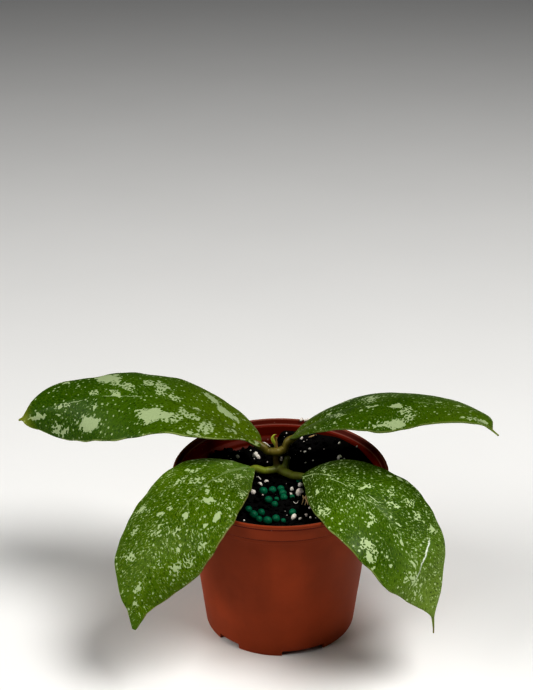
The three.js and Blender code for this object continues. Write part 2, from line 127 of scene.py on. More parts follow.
class Shader:
    """One material, written as expressions."""

    def __init__(self, name):
        self.material = bpy.data.materials.new(name)
        self.material.use_nodes = True
        self.tree = self.material.node_tree
        self.tree.nodes.clear()

    def node(self, kind, settings=None, inputs=None, output=0):
        """Adds a node: its settings first, then the values or links of its sockets."""
        made = self.tree.nodes.new(kind)
        for key, value in (settings or {}).items():
            if key == "stops":
                set_stops(made.color_ramp.elements, value)
            else:
                setattr(made, key, value)
        pairs = enumerate(inputs) if isinstance(inputs, (list, tuple)) else (inputs or {}).items()
        for key, value in pairs:
            if isinstance(value, Value):
                self.tree.links.new(value.socket, made.inputs[key])
            else:
                made.inputs[key].default_value = value
        return Value(self, made.outputs[output]) if made.outputs else made

    def ramp(self, value, stops):
        """A colour ramp through (place, colour) stops."""
        return self.node("ShaderNodeValToRGB", {"stops": stops}, [value])

    def mix(self, share, first, second):
        """A colour between two colours."""
        inputs = {MIX_FACTOR: share, MIX_FIRST: rgba(first), MIX_SECOND: rgba(second)}
        return self.node("ShaderNodeMix", {"data_type": "RGBA"}, inputs, MIX_RESULT)

    def noise(self, place, size, detail, roughness, output=0):
        """Noise from 0 to 1 whose lumps are about size millimetres across."""
        inputs = {"Vector": place, "Scale": 1.0 / size, "Detail": detail, "Roughness": roughness}
        return self.node("ShaderNodeTexNoise", None, inputs, output)

    def cells(self, place, size, output="Distance", flat=False):
        """Distance to the nearest of scattered points about size millimetres apart, or their colour."""
        inputs = {"Vector": place, "Scale": 1.0 / size}
        settings = {"voronoi_dimensions": "2D" if flat else "3D"}
        return self.node("ShaderNodeTexVoronoi", settings, inputs, output)

    def vector(self, operation, inputs, output=0):
        return self.node("ShaderNodeVectorMath", {"operation": operation}, inputs, output)

    def place(self):
        """The point of the surface in millimetres."""
        here = self.node("ShaderNodeTexCoord", output="Object")
        return self.vector("SCALE", {"Vector": here, "Scale": 1.0 / MM})

    def stretched(self, vector, factors):
        return self.vector("MULTIPLY", [vector, factors])

    def out_of_oval(self, plane, along, across, half_long, half_wide, turn=0.0):
        """How far out a point lies of an oval on the plane: 0 at its middle and 1 on its rim."""
        inputs = {
            "Vector": plane,
            "Location": (along, across, 0.0),
            "Rotation": (0.0, 0.0, math.radians(turn)),
            "Scale": (half_long, half_wide, 1.0),
        }
        oval = self.node("ShaderNodeMapping", {"vector_type": "TEXTURE"}, inputs)
        return self.vector("LENGTH", {"Vector": oval}, "Value")

    def parts(self, vector):
        split = self.node("ShaderNodeSeparateXYZ", None, [vector]).socket.node
        return [Value(self, socket) for socket in split.outputs]

    def together(self, x, y, z):
        return self.node("ShaderNodeCombineXYZ", None, [x, y, z])

    def sheet(self, name):
        """The two numbers of a leaf's UV map."""
        return self.parts(self.node("ShaderNodeUVMap", {"uv_map": name}, output="UV"))[:2]

    def bump(self, height, size):
        """A bump whose height of 1 stands size millimetres proud."""
        return self.node("ShaderNodeBump", None, {"Height": height, "Distance": size * MM})

    def surface(self, colour, roughness, normal=None, **uniform):
        """Ends the material in a Principled surface. uniform holds values for its own sockets."""
        inputs = {"Base Color": rgba(colour), "Roughness": roughness}
        if normal is not None:
            inputs["Normal"] = normal
        inputs.update({name.replace("_", " "): value for name, value in uniform.items()})
        shader = self.node("ShaderNodeBsdfPrincipled", None, inputs)
        self.node("ShaderNodeOutputMaterial", None, {"Surface": shader})
        return self.material


def set_stops(elements, stops):
    while len(elements) < len(stops):
        elements.new(0.5)
    for element, (place, colour) in zip(elements, stops):
        element.position = place
        element.color = rgba(colour)


# ------------------------------------------------------------------ settings


def number(name, description, default, **more):
    return bpy.props.FloatProperty(name=name, description=description, default=default, min=0.0, **more)


def amount(name, description, default, least=0):
    return bpy.props.IntProperty(name=name, description=description, default=default, min=least)


def length(name, description, default):
    return number(name, description, default, unit="LENGTH", precision=4)


def power(name, description, default):
    return number(name, description, default, unit="POWER")


def colour(name, description, default):
    return bpy.props.FloatVectorProperty(
        name=name, description=description, default=default, size=3, min=0.0, max=1.0, subtype="COLOR"
    )


class PotSettings(bpy.types.PropertyGroup):
    height: length("Height", "Height of the pot over its foot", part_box("pot")[1].z)
    rim_radius: length("Rim radius", "Outer radius of the rolled lip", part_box("pot")[1].x)
    body_colour: colour("Plastic", "Colour of the pot's plastic", (0.318, 0.061, 0.017))
    edge_colour: colour("Lip", "Colour of the thin lip", (0.225, 0.046, 0.014))
    # The inside colour is painted shade: the pot's inner face is coloured darker than its plastic.
    inner_shade_colour: colour("Inside", "Colour of the damp inner wall", (0.115, 0.008, 0.002))


class SoilSettings(bpy.types.PropertyGroup):
    crumb_count: amount("Crumbs", "Loose crumbs of potting mix", 1500)
    dust_count: amount("Perlite dust", "Small scattered bits of perlite", 55)
    mix_colour: colour("Potting mix", "Colour of the damp mix", (0.0038, 0.0034, 0.0034))
    perlite_colour: colour("Perlite", "Colour of the perlite", (0.78, 0.74, 0.68))
    bead_radius: length("Bead radius", "Mean radius of a feed bead", 0.00183)
    bead_colour: colour("Beads", "Colour of the feed beads", (0.0005, 0.092, 0.044))


class StemSettings(bpy.types.PropertyGroup):
    voxel: length("Skin detail", "Grain of the blended stem skin", 0.0002)
    green: colour("Green", "Colour of the lower petioles", (0.120, 0.140, 0.012))
    lit_green: colour("Light green", "Colour of the lower left petiole", (0.210, 0.250, 0.018))
    olive: colour("Olive", "Colour of the upper petioles", (0.165, 0.135, 0.014))
    brown: colour("Brown", "Colour of the brownish side shoot", (0.062, 0.036, 0.010))
    # The stub colour is painted shade: the cut stub is coloured dark for the shade at the plant's middle.
    stub: colour("Stub", "Colour of the cut stub", (0.060, 0.080, 0.006))
    tip: colour("Young tip", "Colour of the young tip", (0.38, 0.42, 0.045))
    flush: colour("Flush", "Colour of the young tip's ends", (0.230, 0.095, 0.050))


class LeafSettings(bpy.types.PropertyGroup):
    rows: amount("Rows", "Mesh rows along a leaf", 170, 12)
    columns: amount("Columns", "Mesh columns across a leaf", 60, 8)
    sage: colour("Sage", "Colour of the pale patches", (0.35, 0.42, 0.24))
    underside: colour("Underside", "Colour of the lower face", (0.150, 0.240, 0.060))


class StudioSettings(bpy.types.PropertyGroup):
    high_power: power("High light", "Power of the broad light high on the right", 25.0)
    left_power: power("Left light", "Power of the broad light on the left", 18.0)
    side_power: power("Side light", "Power of the small light low on the right", 1.6)
    sky: number("Sky", "Strength of the even light all round", 0.055)
    floor_colour: colour("Floor", "Colour of the floor", (0.80, 0.80, 0.795))
    gamma: number("Gamma", "Tone of the picture: lower is deeper", 0.75)
    black_level: number("Black level", "Light that shows as black", 0.003)


# ------------------------------------------------------------------ mesh helpers

CURVE_SAMPLES = 24  # between two given points of a smooth path
TUBE_SIDES = 20
TUBE_END = 0.25  # share of a tube's radius that is left at its very end
TUBE_ACROSS = (0.0, 1.0, 0.15)  # a way that no tube starts in
LUMP_STRETCH = (0.65, 1.25)


def added(name, data):
    """A new object in the scene."""
    item = bpy.data.objects.new(name, data)
    bpy.context.scene.collection.objects.link(item)
    return item


def finished(name, points, faces, materials, node=None, smooth=True):
    """A mesh piece from points in millimetres, riding on the plant's one body."""
    mesh = bpy.data.meshes.new(name)
    mesh.from_pydata((np.asarray(points) * MM).tolist(), [], [list(f) for f in faces])
    set_smooth(mesh, smooth)
    for material in materials:
        mesh.materials.append(material)
    mesh.update()
    piece = added(name, mesh)
    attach(piece, BODY)
    if node:
        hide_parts(node)
    return piece


def set_smooth(mesh, smooth=True):
    mesh.polygons.foreach_set("use_smooth", [smooth] * len(mesh.polygons))


def bake_modifiers(piece):
    """Applies the piece's modifiers to its mesh."""
    bpy.context.view_layer.update()
    graph = bpy.context.evaluated_depsgraph_get()
    mesh = bpy.data.meshes.new_from_object(piece.evaluated_get(graph))
    old = piece.data
    piece.modifiers.clear()
    piece.data = mesh
    bpy.data.meshes.remove(old)
    set_smooth(mesh)


def around(radius, turn, height):
    """Points round the pot's axis."""
    return np.stack([radius * np.cos(turn), radius * np.sin(turn), height], 1)


def quads(*corners):
    """Four-sided faces from the numbers of their corners."""
    return np.stack(corners, -1).reshape(-1, 4)


def ring_faces(rings, sides, start=0):
    """Faces between stacked rings of points, and a cap at either end."""
    i = np.arange(rings - 1)[:, None] * sides + start
    j = np.arange(sides)[None, :]
    k = (j + 1) % sides
    faces = quads(i + j, i + k, i + k + sides, i + j + sides).tolist()
    faces.append((start + np.arange(sides)[::-1]).tolist())
    faces.append((start + (rings - 1) * sides + np.arange(sides)).tolist())
    return faces


def run_along(path):
    """The length of a path from its start to each of its points."""
    return np.r_[0, np.cumsum(np.linalg.norm(np.diff(path, axis=0), axis=1))]


def smooth_path(points, steps):
    """Evenly spaced points on a Catmull-Rom curve through the given ones."""
    p = np.asarray(points, float)
    p = np.vstack([2 * p[0] - p[1], p, 2 * p[-1] - p[-2]])
    t = np.linspace(0, 1, CURVE_SAMPLES, endpoint=False)[:, None]
    fine = []
    for a, b, c, d in zip(p, p[1:], p[2:], p[3:]):
        bow = (2 * a - 5 * b + 4 * c - d) * t**2
        twist = (3 * b - a - 3 * c + d) * t**3
        fine.append(0.5 * (2 * b + (c - a) * t + bow + twist))
    fine = np.vstack([*fine, p[-2][None]])
    run = run_along(fine)
    at = np.linspace(0, run[-1], steps + 1)
    return np.stack([np.interp(at, run, fine[:, k]) for k in range(3)], 1)


def tube(points, radii, steps, sides=TUBE_SIDES, flat=1.0, start=0):
    """A round bar with rounded ends along a smooth path: its points and faces. radii are spread
    evenly along it; flat squeezes it from front to back."""
    path = smooth_path(points, steps)
    radius = np.interp(np.linspace(0, 1, steps + 1), np.linspace(0, 1, len(radii)), radii)
    forward = np.gradient(path, axis=0)
    forward /= np.linalg.norm(forward, axis=1)[:, None]
    run = run_along(path)
    to_end = np.minimum(run / radius[0], (run[-1] - run) / radius[-1]).clip(0, 1)
    radius = radius * np.sqrt(1 - (1 - to_end) ** 2).clip(TUBE_END, 1)
    side = np.cross(forward[0], TUBE_ACROSS)
    rings = []
    turn = np.linspace(0, 2 * np.pi, sides, endpoint=False)[:, None]
    for here, ahead, r in zip(path, forward, radius):
        side = side - ahead * (side @ ahead)
        side /= np.linalg.norm(side)
        across = np.cross(ahead, side)
        rings.append(here + r * (np.cos(turn) * side + flat * np.sin(turn) * across))
    return np.vstack(rings), ring_faces(steps + 1, sides, start)


def merged(parts):
    """Several (points, faces) lists as one."""
    points, faces, count = [], [], 0
    for p, f in parts:
        points.append(p)
        faces.extend([[i + count for i in face] for face in f])
        count += len(p)
    return np.vstack(points), faces


def ball_template(detail):
    bm = bmesh.new()
    bmesh.ops.create_icosphere(bm, subdivisions=detail, radius=1.0)
    points = np.array([v.co[:] for v in bm.verts])
    faces = [[v.index for v in f.verts] for f in bm.faces]
    bm.free()
    return points, faces


def random_turn(random):
    """A random rotation matrix."""
    q, r = np.linalg.qr(random.normal(size=(3, 3)))
    return q * np.sign(np.diag(r))


def lumps(template, random, places, sizes, unevenness):
    """Irregular lumps, one at each place, from a ball template."""
    ball, faces = template
    made = []
    for place, size in zip(places, sizes):
        stretch = random.uniform(*LUMP_STRETCH, 3)
        bumps = 1 + unevenness * random.uniform(-1, 1, (len(ball), 1))
        made.append(((ball * bumps * stretch) @ random_turn(random) * size + place, faces))
    return merged(made)


def noise_at(points, size, seed):
    """Smooth noise from about -1 to 1, for points in millimetres."""
    shift = Vector((seed, 1.7 * seed, -seed))
    return np.array([noise.noise(Vector(p) / size + shift) for p in points])


# ------------------------------------------------------------------ pot

# Radii and heights of the outer face; a wall's inner face follows it.
POT = SimpleNamespace(
    body_top=(46.2, 70.9), base_radius=37.8, band_radius=48.4, collar_z=74.7, collar_radii=(50.5, 51.4),
    lip_depth=1.8, wall=1.3, ledge_drop=2.8, ledge_width=1.6, floor_under=3.2, floor_thickness=1.3,
    foot_ring=2.8, pad_radius=9.0, notch_height=2.7,
)
# Two ends of each notch in degrees from the front, counted towards +X.
FOOT_NOTCHES = ((-52, -33), (1, 34), (128, 147), (181, 214))
NOTCH_STEP = 0.25  # degrees over which a notch's end rises
POT_STEP = 1.5  # degrees between the columns of the mesh
DRAIN_HOLES = SimpleNamespace(count=5, radius=4.5, circle=24.0, depth=6.0, segments=40)
SHARP_EDGE = 50.0
WELD = 1e-6  # metres

# Where the finish changes, each as the two ends of a soft step in height, radius or x. The steps
# whose names end in below are measured down from the top of the rim.
# Some of these steps bound painted light and shade on the inner wall, and painted highlights along the
# ledge and the lip's crown.
POT_FINISH = SimpleNamespace(
    lip_radius=(51.2, 52.2), lip_below=(2.1, 0.6), band=(70.0, 75.0), collar=(80.0, 81.0),
    inside_floor=(5.0, 8.0), inside_skin=(-0.2, 0.2), painted_light_band=(74.3, 76.0), painted_light_right=(-28.0, -12.0),
    under_ledge=(82.0, 81.0), painted_light_flanks=(33.0, 43.0),
    ledge_radius=50.5, ledge_line=(0.34, 0.10), ledge_foot=(81.0, 81.2), ledge_top=(82.3, 81.9),
    crown_below=(0.45, 0.15), crown_inner=(50.9, 51.3), crown_outer=(52.3, 51.9),
)
# Radius of the middle of the wall: at the foot, what each millimetre of height adds to it, and what
# the band and the collar add.
WALL_MIDDLE = SimpleNamespace(foot=37.2, taper=0.1185, band=3.6, collar=1.2)
LIME_SPECKS = (0.30, 0.17, 0.15)
# Painted highlights: a glint along the inner ledge and a light line along the lip's crown.
PAINTED_LEDGE_GLINT = (0.30, 0.13, 0.10)
PAINTED_CROWN_HIGHLIGHT = (0.24, 0.095, 0.065)
POT_DUST = (0.30, 0.20, 0.15)


def pot_profile(height, rim, foot):
    """The pot's outline as (radius, height, corner softness), from the pad's centre round the lip
    to the floor's centre. foot is the height of the foot's lower edge."""
    base, (body_r, body_z) = POT.base_radius, POT.body_top
    low_r, high_r = POT.collar_radii
    lip_z = height - POT.lip_depth
    ledge_z = height - POT.ledge_drop
    floor = POT.floor_under + POT.floor_thickness
    band = POT.band_radius
    taper = (body_r - base) / body_z
    inner = band - POT.wall
    return [
        (0, 0, 0),
        (POT.pad_radius, 0, 0.3),
        (POT.pad_radius + 0.6, POT.floor_under, 0.3),
        (base - POT.foot_ring - 0.5, POT.floor_under, 0.3),
        (base - POT.foot_ring - 0.4 * (foot > 0), foot, 0.25),
        (base + taper * foot, foot, 0.3),
        (body_r, body_z, 0.35),
        (band - 0.2, body_z + 0.3, 0.3),
        (band, POT.collar_z - 0.3, 0.3),
        (low_r, POT.collar_z, 0.35),
        (high_r, lip_z - 0.3, 0.3),
        (rim, lip_z, 0.5),
        (rim, height, 0.75),
        (rim - 1.35, height, 0.5),
        (high_r - 0.9, ledge_z + 0.2, 0.3),
        (high_r - POT.ledge_width - 0.6, ledge_z, 0.4),
        (low_r - POT.wall - 0.2, POT.collar_z + 1.2, 0.5),
        (inner + 0.3, POT.collar_z - 0.7, 0.5),
        (inner, body_z + 1.6, 0.4),
        (body_r - POT.wall, body_z - 0.6, 0.6),
        (base - 0.9, floor, 1.2),
        (0, floor, 0),
    ]


def softened(profile, steps=4, longest=4.0):
    """The outline with each corner rounded and long runs divided."""
    points = [np.array(p[:2], float) for p in profile]
    line = [points[0]]
    for before, here, after, (_, _, soft) in zip(points, points[1:], points[2:], profile[1:]):
        back, ahead = before - here, after - here
        reach = min(soft, 0.45 * np.linalg.norm(back), 0.45 * np.linalg.norm(ahead))
        a = here + back / np.linalg.norm(back) * reach
        b = here + ahead / np.linalg.norm(ahead) * reach
        for t in np.linspace(0, 1, steps + 1):
            line.append((1 - t) ** 2 * a + 2 * t * (1 - t) * here + t * t * b)
    line.append(points[-1])
    full = [line[0]]
    for a, b in zip(line, line[1:]):
        parts = max(1, int(np.linalg.norm(b - a) // longest))
        full.extend(a + (b - a) * (k + 1) / parts for k in range(parts))
    return np.array(full)


def pot_angles():
    """Angles round the pot, with a close pair at each end of each notch."""
    even = np.arange(0, 360, POT_STEP)
    ends = np.array(FOOT_NOTCHES, float).ravel() % 360
    return np.unique(np.r_[even, ends, (ends + NOTCH_STEP) % 360])


def in_notch(angle):
    slack = 0.4 * NOTCH_STEP  # a notch's own end still belongs to the whole foot
    return any(slack < (angle - a) % 360 <= (b - a) + slack for a, b in FOOT_NOTCHES)


def cut_drain_holes(piece, floor):
    holes = DRAIN_HOLES
    bm = bmesh.new()
    for k in range(holes.count):
        turn = 2 * math.pi * (k + 0.5) / holes.count
        radius, depth = holes.radius * MM, holes.depth * MM
        made = bmesh.ops.create_cone(
            bm, cap_ends=True, segments=holes.segments, radius1=radius, radius2=radius, depth=depth
        )
        out = holes.circle * MM
        shift = (out * math.cos(turn), out * math.sin(turn), floor * MM)
        bmesh.ops.translate(bm, vec=shift, verts=made["verts"])
    mesh = bpy.data.meshes.new("drain_cutter")
    bm.to_mesh(mesh)
    bm.free()
    cutter = added("drain_cutter", mesh)
    cut = piece.modifiers.new("drain_holes", "BOOLEAN")
    cut.operation = "DIFFERENCE"
    cut.object = cutter
    bake_modifiers(piece)
    bpy.data.objects.remove(cutter)


def inner_wall_tone(s, place, from_axis, grain, shaded_colour):
    """The pot's inside: darker than the plastic as painted shade, lighter on a band high up and on its
    flanks as painted light and darker under that band, with specks of lime and a painted highlight
    along the ledge.
    """
    zones = POT_FINISH
    x, _, z = s.parts(place)
    # Painted light: a band high on the wall is made lighter, and the wall under it darker as painted
    # shade.
    painted_light_band = z.rise(*zones.painted_light_band) * z.rise(*zones.under_ledge) * x.rise(*zones.painted_light_right)
    tone = s.mix(painted_light_band, shade(shaded_colour, 0.82), shade(shaded_colour, 1.2))
    # Painted light: the wall's flanks are made lighter.
    painted_light_flanks = abs(x).rise(*zones.painted_light_flanks) * z.rise(*zones.under_ledge)
    tone = s.mix(painted_light_flanks, tone, shade(shaded_colour, 2.0))
    specks = (s.cells(place, 6.0) + (grain - 0.5) * 0.35).rise(0.11, 0.05)
    tone = s.mix(specks * 0.6, tone, LIME_SPECKS)
    # Painted highlight: a pale glint along the ledge's edge.
    ledge_glint = abs(from_axis - zones.ledge_radius).rise(*zones.ledge_line)
    ledge_glint = ledge_glint * z.rise(*zones.ledge_foot) * z.rise(*zones.ledge_top)
    return s.mix(ledge_glint * 0.6, tone, PAINTED_LEDGE_GLINT)


def pot_material(settings):
    """Satin moulded plastic: a brighter thin lip, faint flow marks, fine scratches and some dust, with
    painted shade and light inside and painted highlights along the ledge and the lip's crown.
    """
    s = Shader("pot_plastic")
    zones = POT_FINISH
    place = s.place()
    x, y, z = s.parts(place)
    from_axis = (x * x + y * y) ** 0.5
    cloud = s.noise(place, 28.0, 4.0, 0.55)
    flow = s.noise(s.stretched(place, (1.0, 1.0, 0.12)), 5.0, 3.0, 0.6)
    grain = s.noise(place, 0.9, 4.0, 0.65)
    scratch = s.noise(s.stretched(place, (0.35, 0.35, 6.0)), 2.4, 2.0, 0.5)

    plastic = settings.body_colour
    body = s.mix(cloud.rise(0.30, 0.70), shade(plastic, 0.88), shade(plastic, 1.12))
    body = s.mix(flow.rise(0.45, 0.8) * 0.12, body, settings.edge_colour)
    top = settings.height / MM
    below, above = zones.lip_below
    lip = z.rise(top - below, top - above) * from_axis.rise(*zones.lip_radius)
    body = s.mix(lip * 0.85, body, settings.edge_colour)

    wall = WALL_MIDDLE.foot + WALL_MIDDLE.taper * z + z.rise(*zones.band) * WALL_MIDDLE.band
    wall = wall + z.rise(*zones.collar) * WALL_MIDDLE.collar
    inside = (wall - from_axis).rise(*zones.inside_skin) * z.rise(*zones.inside_floor)
    # Painted shade: the inner face takes the darker inside tone, with its painted light and highlight.
    damp = inner_wall_tone(s, place, from_axis, grain, settings.inner_shade_colour)
    body = s.mix(inside * 0.95, body, damp)

    # Painted highlight: a light line along the inner edge of the lip's top.
    below, above = zones.crown_below
    crown_highlight = z.rise(top - below, top - above)
    crown_highlight = crown_highlight * from_axis.rise(*zones.crown_inner) * from_axis.rise(*zones.crown_outer)
    body = s.mix(crown_highlight * 0.7, body, PAINTED_CROWN_HIGHLIGHT)
    dust = (grain.rise(0.66, 0.80) * cloud.rise(0.45, 0.75)) * 0.10
    body = s.mix(dust, body, POT_DUST)
    rough = 0.42 + 0.08 * cloud + 0.08 * grain + 0.25 * dust
    height = grain * 0.35 + scratch * 0.4 + flow * 0.5
    return s.surface(body, rough, s.bump(height, 0.02), Specular_IOR_Level=0.12)


def build_pot(settings):
    height, rim = settings.height / MM, settings.rim_radius / MM
    angles = pot_angles()
    whole = softened(pot_profile(height, rim, 0.0))
    notched = softened(pot_profile(height, rim, POT.notch_height))
    columns = []
    for angle in angles:
        line = notched if in_notch(angle) else whole
        columns.append(around(line[:, 0], math.radians(angle - 90), line[:, 1]))
    count = len(whole)
    i = np.arange(len(angles))[:, None] * count
    n = (np.arange(len(angles))[:, None] + 1) % len(angles) * count
    j = np.arange(count - 1)[None, :]
    faces = quads(i + j, n + j, n + j + 1, i + j + 1)
    points = np.vstack(columns)
    pot = finished("pot_shell", points, faces.tolist(), [pot_material(settings)], "pot")
    bm = bmesh.new()
    bm.from_mesh(pot.data)
    bmesh.ops.remove_doubles(bm, verts=bm.verts, dist=WELD)
    bmesh.ops.recalc_face_normals(bm, faces=bm.faces)
    bm.to_mesh(pot.data)
    bm.free()
    cut_drain_holes(pot, POT.floor_under)
    pot.data.set_sharp_from_angle(angle=math.radians(SHARP_EDGE))


# ------------------------------------------------------------------ potting mix

LOWER_NODE = (-1.0, 8.0, 79.6)
UPPER_NODE = (-1.8, 8.0, 89.2)

SOIL = SimpleNamespace(level=77.0, rise_back=2.2, rise_right=0.8, reach=48.0)
SEEDS = SimpleNamespace(crumbs=12, perlite=13, beads=14, litter=15, heap=16)
# At the back left the mix has sunk along the wall: turns in degrees from +X, radii and depth.
SOIL_HOLLOW = SimpleNamespace(turns=(91, 176), soften=9, radii=(32, 45), depth=7.5)
SOIL_GAP = 0.35  # between the mix and the pot's wall
SOIL_MESH = SimpleNamespace(segments=240, rings=62, middle=0.004)
SKIRT_DROPS = (2.4, 2.0, 1.6, 1.2)  # how far the side's rings stay below the top's edge
SOIL_ROUGHNESS = ((0.75, 4.5, 3.0), (0.55, 1.6, 9.0), (0.25, 0.7, 5.0))  # height, size, seed
# Radius and height of the pot's inner face, from its floor up.
POT_INSIDE = ((36.9, 4.5), (44.9, 70.3), (47.1, 72.5), (47.4, 74.0), (49.0, 75.9), (49.2, 81.2))

# Loose crumbs of mix and bits of perlite: smallest size, how much larger they get, how rare the
# large ones are, their lift over the mix (a fixed part and a share of their size), how far out they
# reach and how far they stay from the stem.
CRUMBS = SimpleNamespace(small=0.35, more=1.15, rare=2.6, lift=(0.0, 0.45), reach=46.8, clear=2.6)
DUST = SimpleNamespace(small=0.18, more=0.38, rare=2, lift=(0.5, 0.4), reach=46.5, clear=3.0)
# How uneven each kind of lump is.
UNEVENNESS = SimpleNamespace(crumbs=0.28, perlite=0.10, on_rim=0.12, dust=0.18, bark=0.16)
# Mix that has stayed on the wall over the hollow: middle and half its spread in degrees, and the
# radii between which its crumbs lie.
WALL_HEAP = SimpleNamespace(turn=134, reach=14, height=5.5, count=420, outer=45.4, depth=4.0)

# Places of the larger pieces of perlite and of the feed beads, as (x, y, size).
PERLITE = (
    (-13.5, -10, 1.2), (-10, -2.4, 1.3), (-7, -0.2, 1.45), (5.5, -8, 1), (5, -11.5, 0.8),
    (9.2, -11.8, 2.1), (9.6, -5.6, 1.35), (6, -30.5, 1.6), (9, -31.5, 0.9), (12, -29, 0.8),
    (14, -31.5, 0.9), (-17.5, -34, 0.5), (14, -23, 0.9), (-12.6, 22.6, 2), (-11.2, 21.6, 1.2),
    (-21.5, 21.5, 1.3), (-28.5, 31.5, 1), (11.2, 40.2, 0.9), (18.6, 36.4, 0.5), (12.7, 27, 0.65),
    (15.2, 29.2, 0.85), (30.5, 33.6, 0.65), (30, 19, 1.4), (32.2, 18, 1), (39.4, 29.2, 0.6),
    (16.6, 18.6, 0.5), (12.5, 37.5, 0.4), (3.5, 45.5, 0.45), (27, 4, 1.3), (-31, 2, 1.4), (-34, -18, 1.2),
    (36, -9, 1.2), (22, -38, 1.1), (-24, -33, 1),
)
BEADS = (
    (-8.5, -11, 1.95), (-4, -10, 1.75), (0, -8.5, 1.7), (1, -12, 1.7), (1.5, -15.5, 1.6), (-6, -18, 1.8),
    (-2, -16.5, 1.1), (-3, -21, 1.5), (5.5, -14.5, 1.2), (-15.5, -27, 1.7), (-13, -31.5, 2),
    (-9.5, -29.5, 1.75), (-10.5, -35, 1.7), (-6.5, -36, 1.9), (-2.5, -34, 1.8), (1, -34.5, 1.2),
    (5.5, -27.5, 1.7), (9.2, -2.5, 1.5),
)
# Strands on the mix, each as its radius and (x, y, lift over the mix) of its points.
COIR_STRANDS = (
    (0.45, ((10.5, -13, 0.9), (11, -17.5, 1.7), (10, -21.5, 0.9))),
    (0.5, ((12, -14, 0.8), (12.5, -18, 1.8), (11.5, -22, 0.8))),
    (0.4, ((10.8, -15, 1.5), (12.5, -19.5, 1.9), (13, -22, 1.1))),
    (0.35, ((10.5, -16.5, 1.6), (12, -17.5, 2.2), (13.5, -16, 1.4))),
    (0.3, ((-27, -14, 0.5), (-24, -12, 1.2), (-21, -9, 0.5))),
    (0.35, ((28, -5, 0.5), (30, -2, 1.2), (31, 2, 0.5))),
    (0.3, ((24, -34, 0.4), (27, -32, 1.0), (29, -29, 0.4))),
    (0.35, ((-31, 9, 0.5), (-29, 12, 1.0), (-29, 15, 0.4))),
)
PALE_STRANDS = (
    (0.5, ((-8, 19, 0.5), (-7, 17.5, 0.9), (-6, 15.5, 0.8), (-5.5, 13.5, 0.4))),
    (0.4, ((-12, 3, 1.1), (-11, 2.6, 1.6), (-9.6, 1, 1.0))),
    (0.7, ((0.4, 17, 0.2), (0.5, 16.8, 1.8), (0.6, 16.6, 3.4))),
    (0.2, ((6, -18.5, 0.8), (6.5, -20.5, 1.2), (7.5, -21, 1.2), (8.5, -18, 0.8))),
    (0.55, ((-10.5, 32, 1.4), (-8, 31.4, 2.0), (-5, 29, 1.4))),
)
STRAND_RADII = (0.6, 1.0, 0.85, 0.5)  # shares of its radius along a strand
# Flat flakes of bark as (x, y, turn, length, width), with half their thickness and their lift.
FLAKES = (
    (17, 41.8, 8, 4.0, 1.0), (-26, -4, 75, 6.0, 2.4), (-38, 4, 60, 5.5, 2.2), (33, -20, 140, 6.0, 2.4),
    (24, 2, 110, 5.0, 2.2),
)
FLAKE = SimpleNamespace(half_thick=0.45, lift=0.9)
# Crumbs of perlite left on the lip, as (x, y, z, size).
RIM_CRUMBS = ((11.4, 50.6, 84.3, 1.15), (13.4, 50.1, 84.2, 0.8), (15.2, 49.7, 84.3, 1.05))
BEAD_SQUASH = (0.88, 1.04)

PEAT_FIBRE = (0.030, 0.019, 0.012)
DULL_PERLITE = (0.50, 0.40, 0.36)
PERLITE_SMEAR = (0.30, 0.24, 0.20)
BEAD_PALENESS = 0.0015
FIBRE_TONES = ((0.3, (0.18, 0.10, 0.045)), (0.55, (0.44, 0.32, 0.17)), (0.8, (0.66, 0.55, 0.36)))


def smooth_step(value, low, high):
    share = np.clip((value - low) / (high - low), 0, 1)
    return share * share * (3 - 2 * share)


def hollow_share(x, y):
    """How much of the hollow's depth a place has, from 0 to 1."""
    start, end = SOIL_HOLLOW.turns
    soften = SOIL_HOLLOW.soften
    turn = np.degrees(np.arctan2(y, x)) % 360
    share = smooth_step(turn, start - soften / 2, start + soften / 2)
    share = share - smooth_step(turn, end - soften, end + soften)
    return share * smooth_step(np.hypot(x, y), *SOIL_HOLLOW.radii)


def soil_height(x, y):
    """The lumpy top of the potting mix."""
    slope = (SOIL.rise_back * y + SOIL.rise_right * x) / SOIL.reach
    humps = 0.8 * np.sin(x / 8.5 + 0.4) * np.cos(y / 10 - 0.4)
    small = 0.45 * np.sin(x / 3.9) * np.sin(y / 3.3 + 2)
    return SOIL.level + slope + humps + small - SOIL_HOLLOW.depth * hollow_share(x, y)


def on_mix(x, y, lift=0.0):
    """Places that stand lift over the top of the mix."""
    return np.stack([x, y, soil_height(x, y) + lift], -1)


def pot_inside_radius(z):
    radii, heights = zip(*POT_INSIDE)
    return np.interp(z, heights, radii)


def scattered(random, count, kind):
    """Random places on the mix, clear of the stem, for lumps of one kind, and their sizes."""
    x, y = [], []
    while len(x) < count:
        out, turn = kind.reach * math.sqrt(random.random()), 2 * math.pi * random.random()
        px, py = out * math.cos(turn), out * math.sin(turn)
        if math.hypot(px - LOWER_NODE[0], py - LOWER_NODE[1]) > kind.clear:
            x.append(px)
            y.append(py)
    size = kind.small + kind.more * random.random(len(x)) ** kind.rare
    fixed, share = kind.lift
    return on_mix(np.array(x), np.array(y), fixed + share * size), size


def clear_of_wall(places, size):
    """The places, with those too near the pot's wall drawn in towards its axis."""
    out = np.hypot(places[:, 0], places[:, 1])
    limit = pot_inside_radius(places[:, 2] - size) - 1.3 * size - 0.1
    draw = np.minimum(1, limit / out)
    return places * np.stack([draw, draw, np.ones(len(draw))], 1)


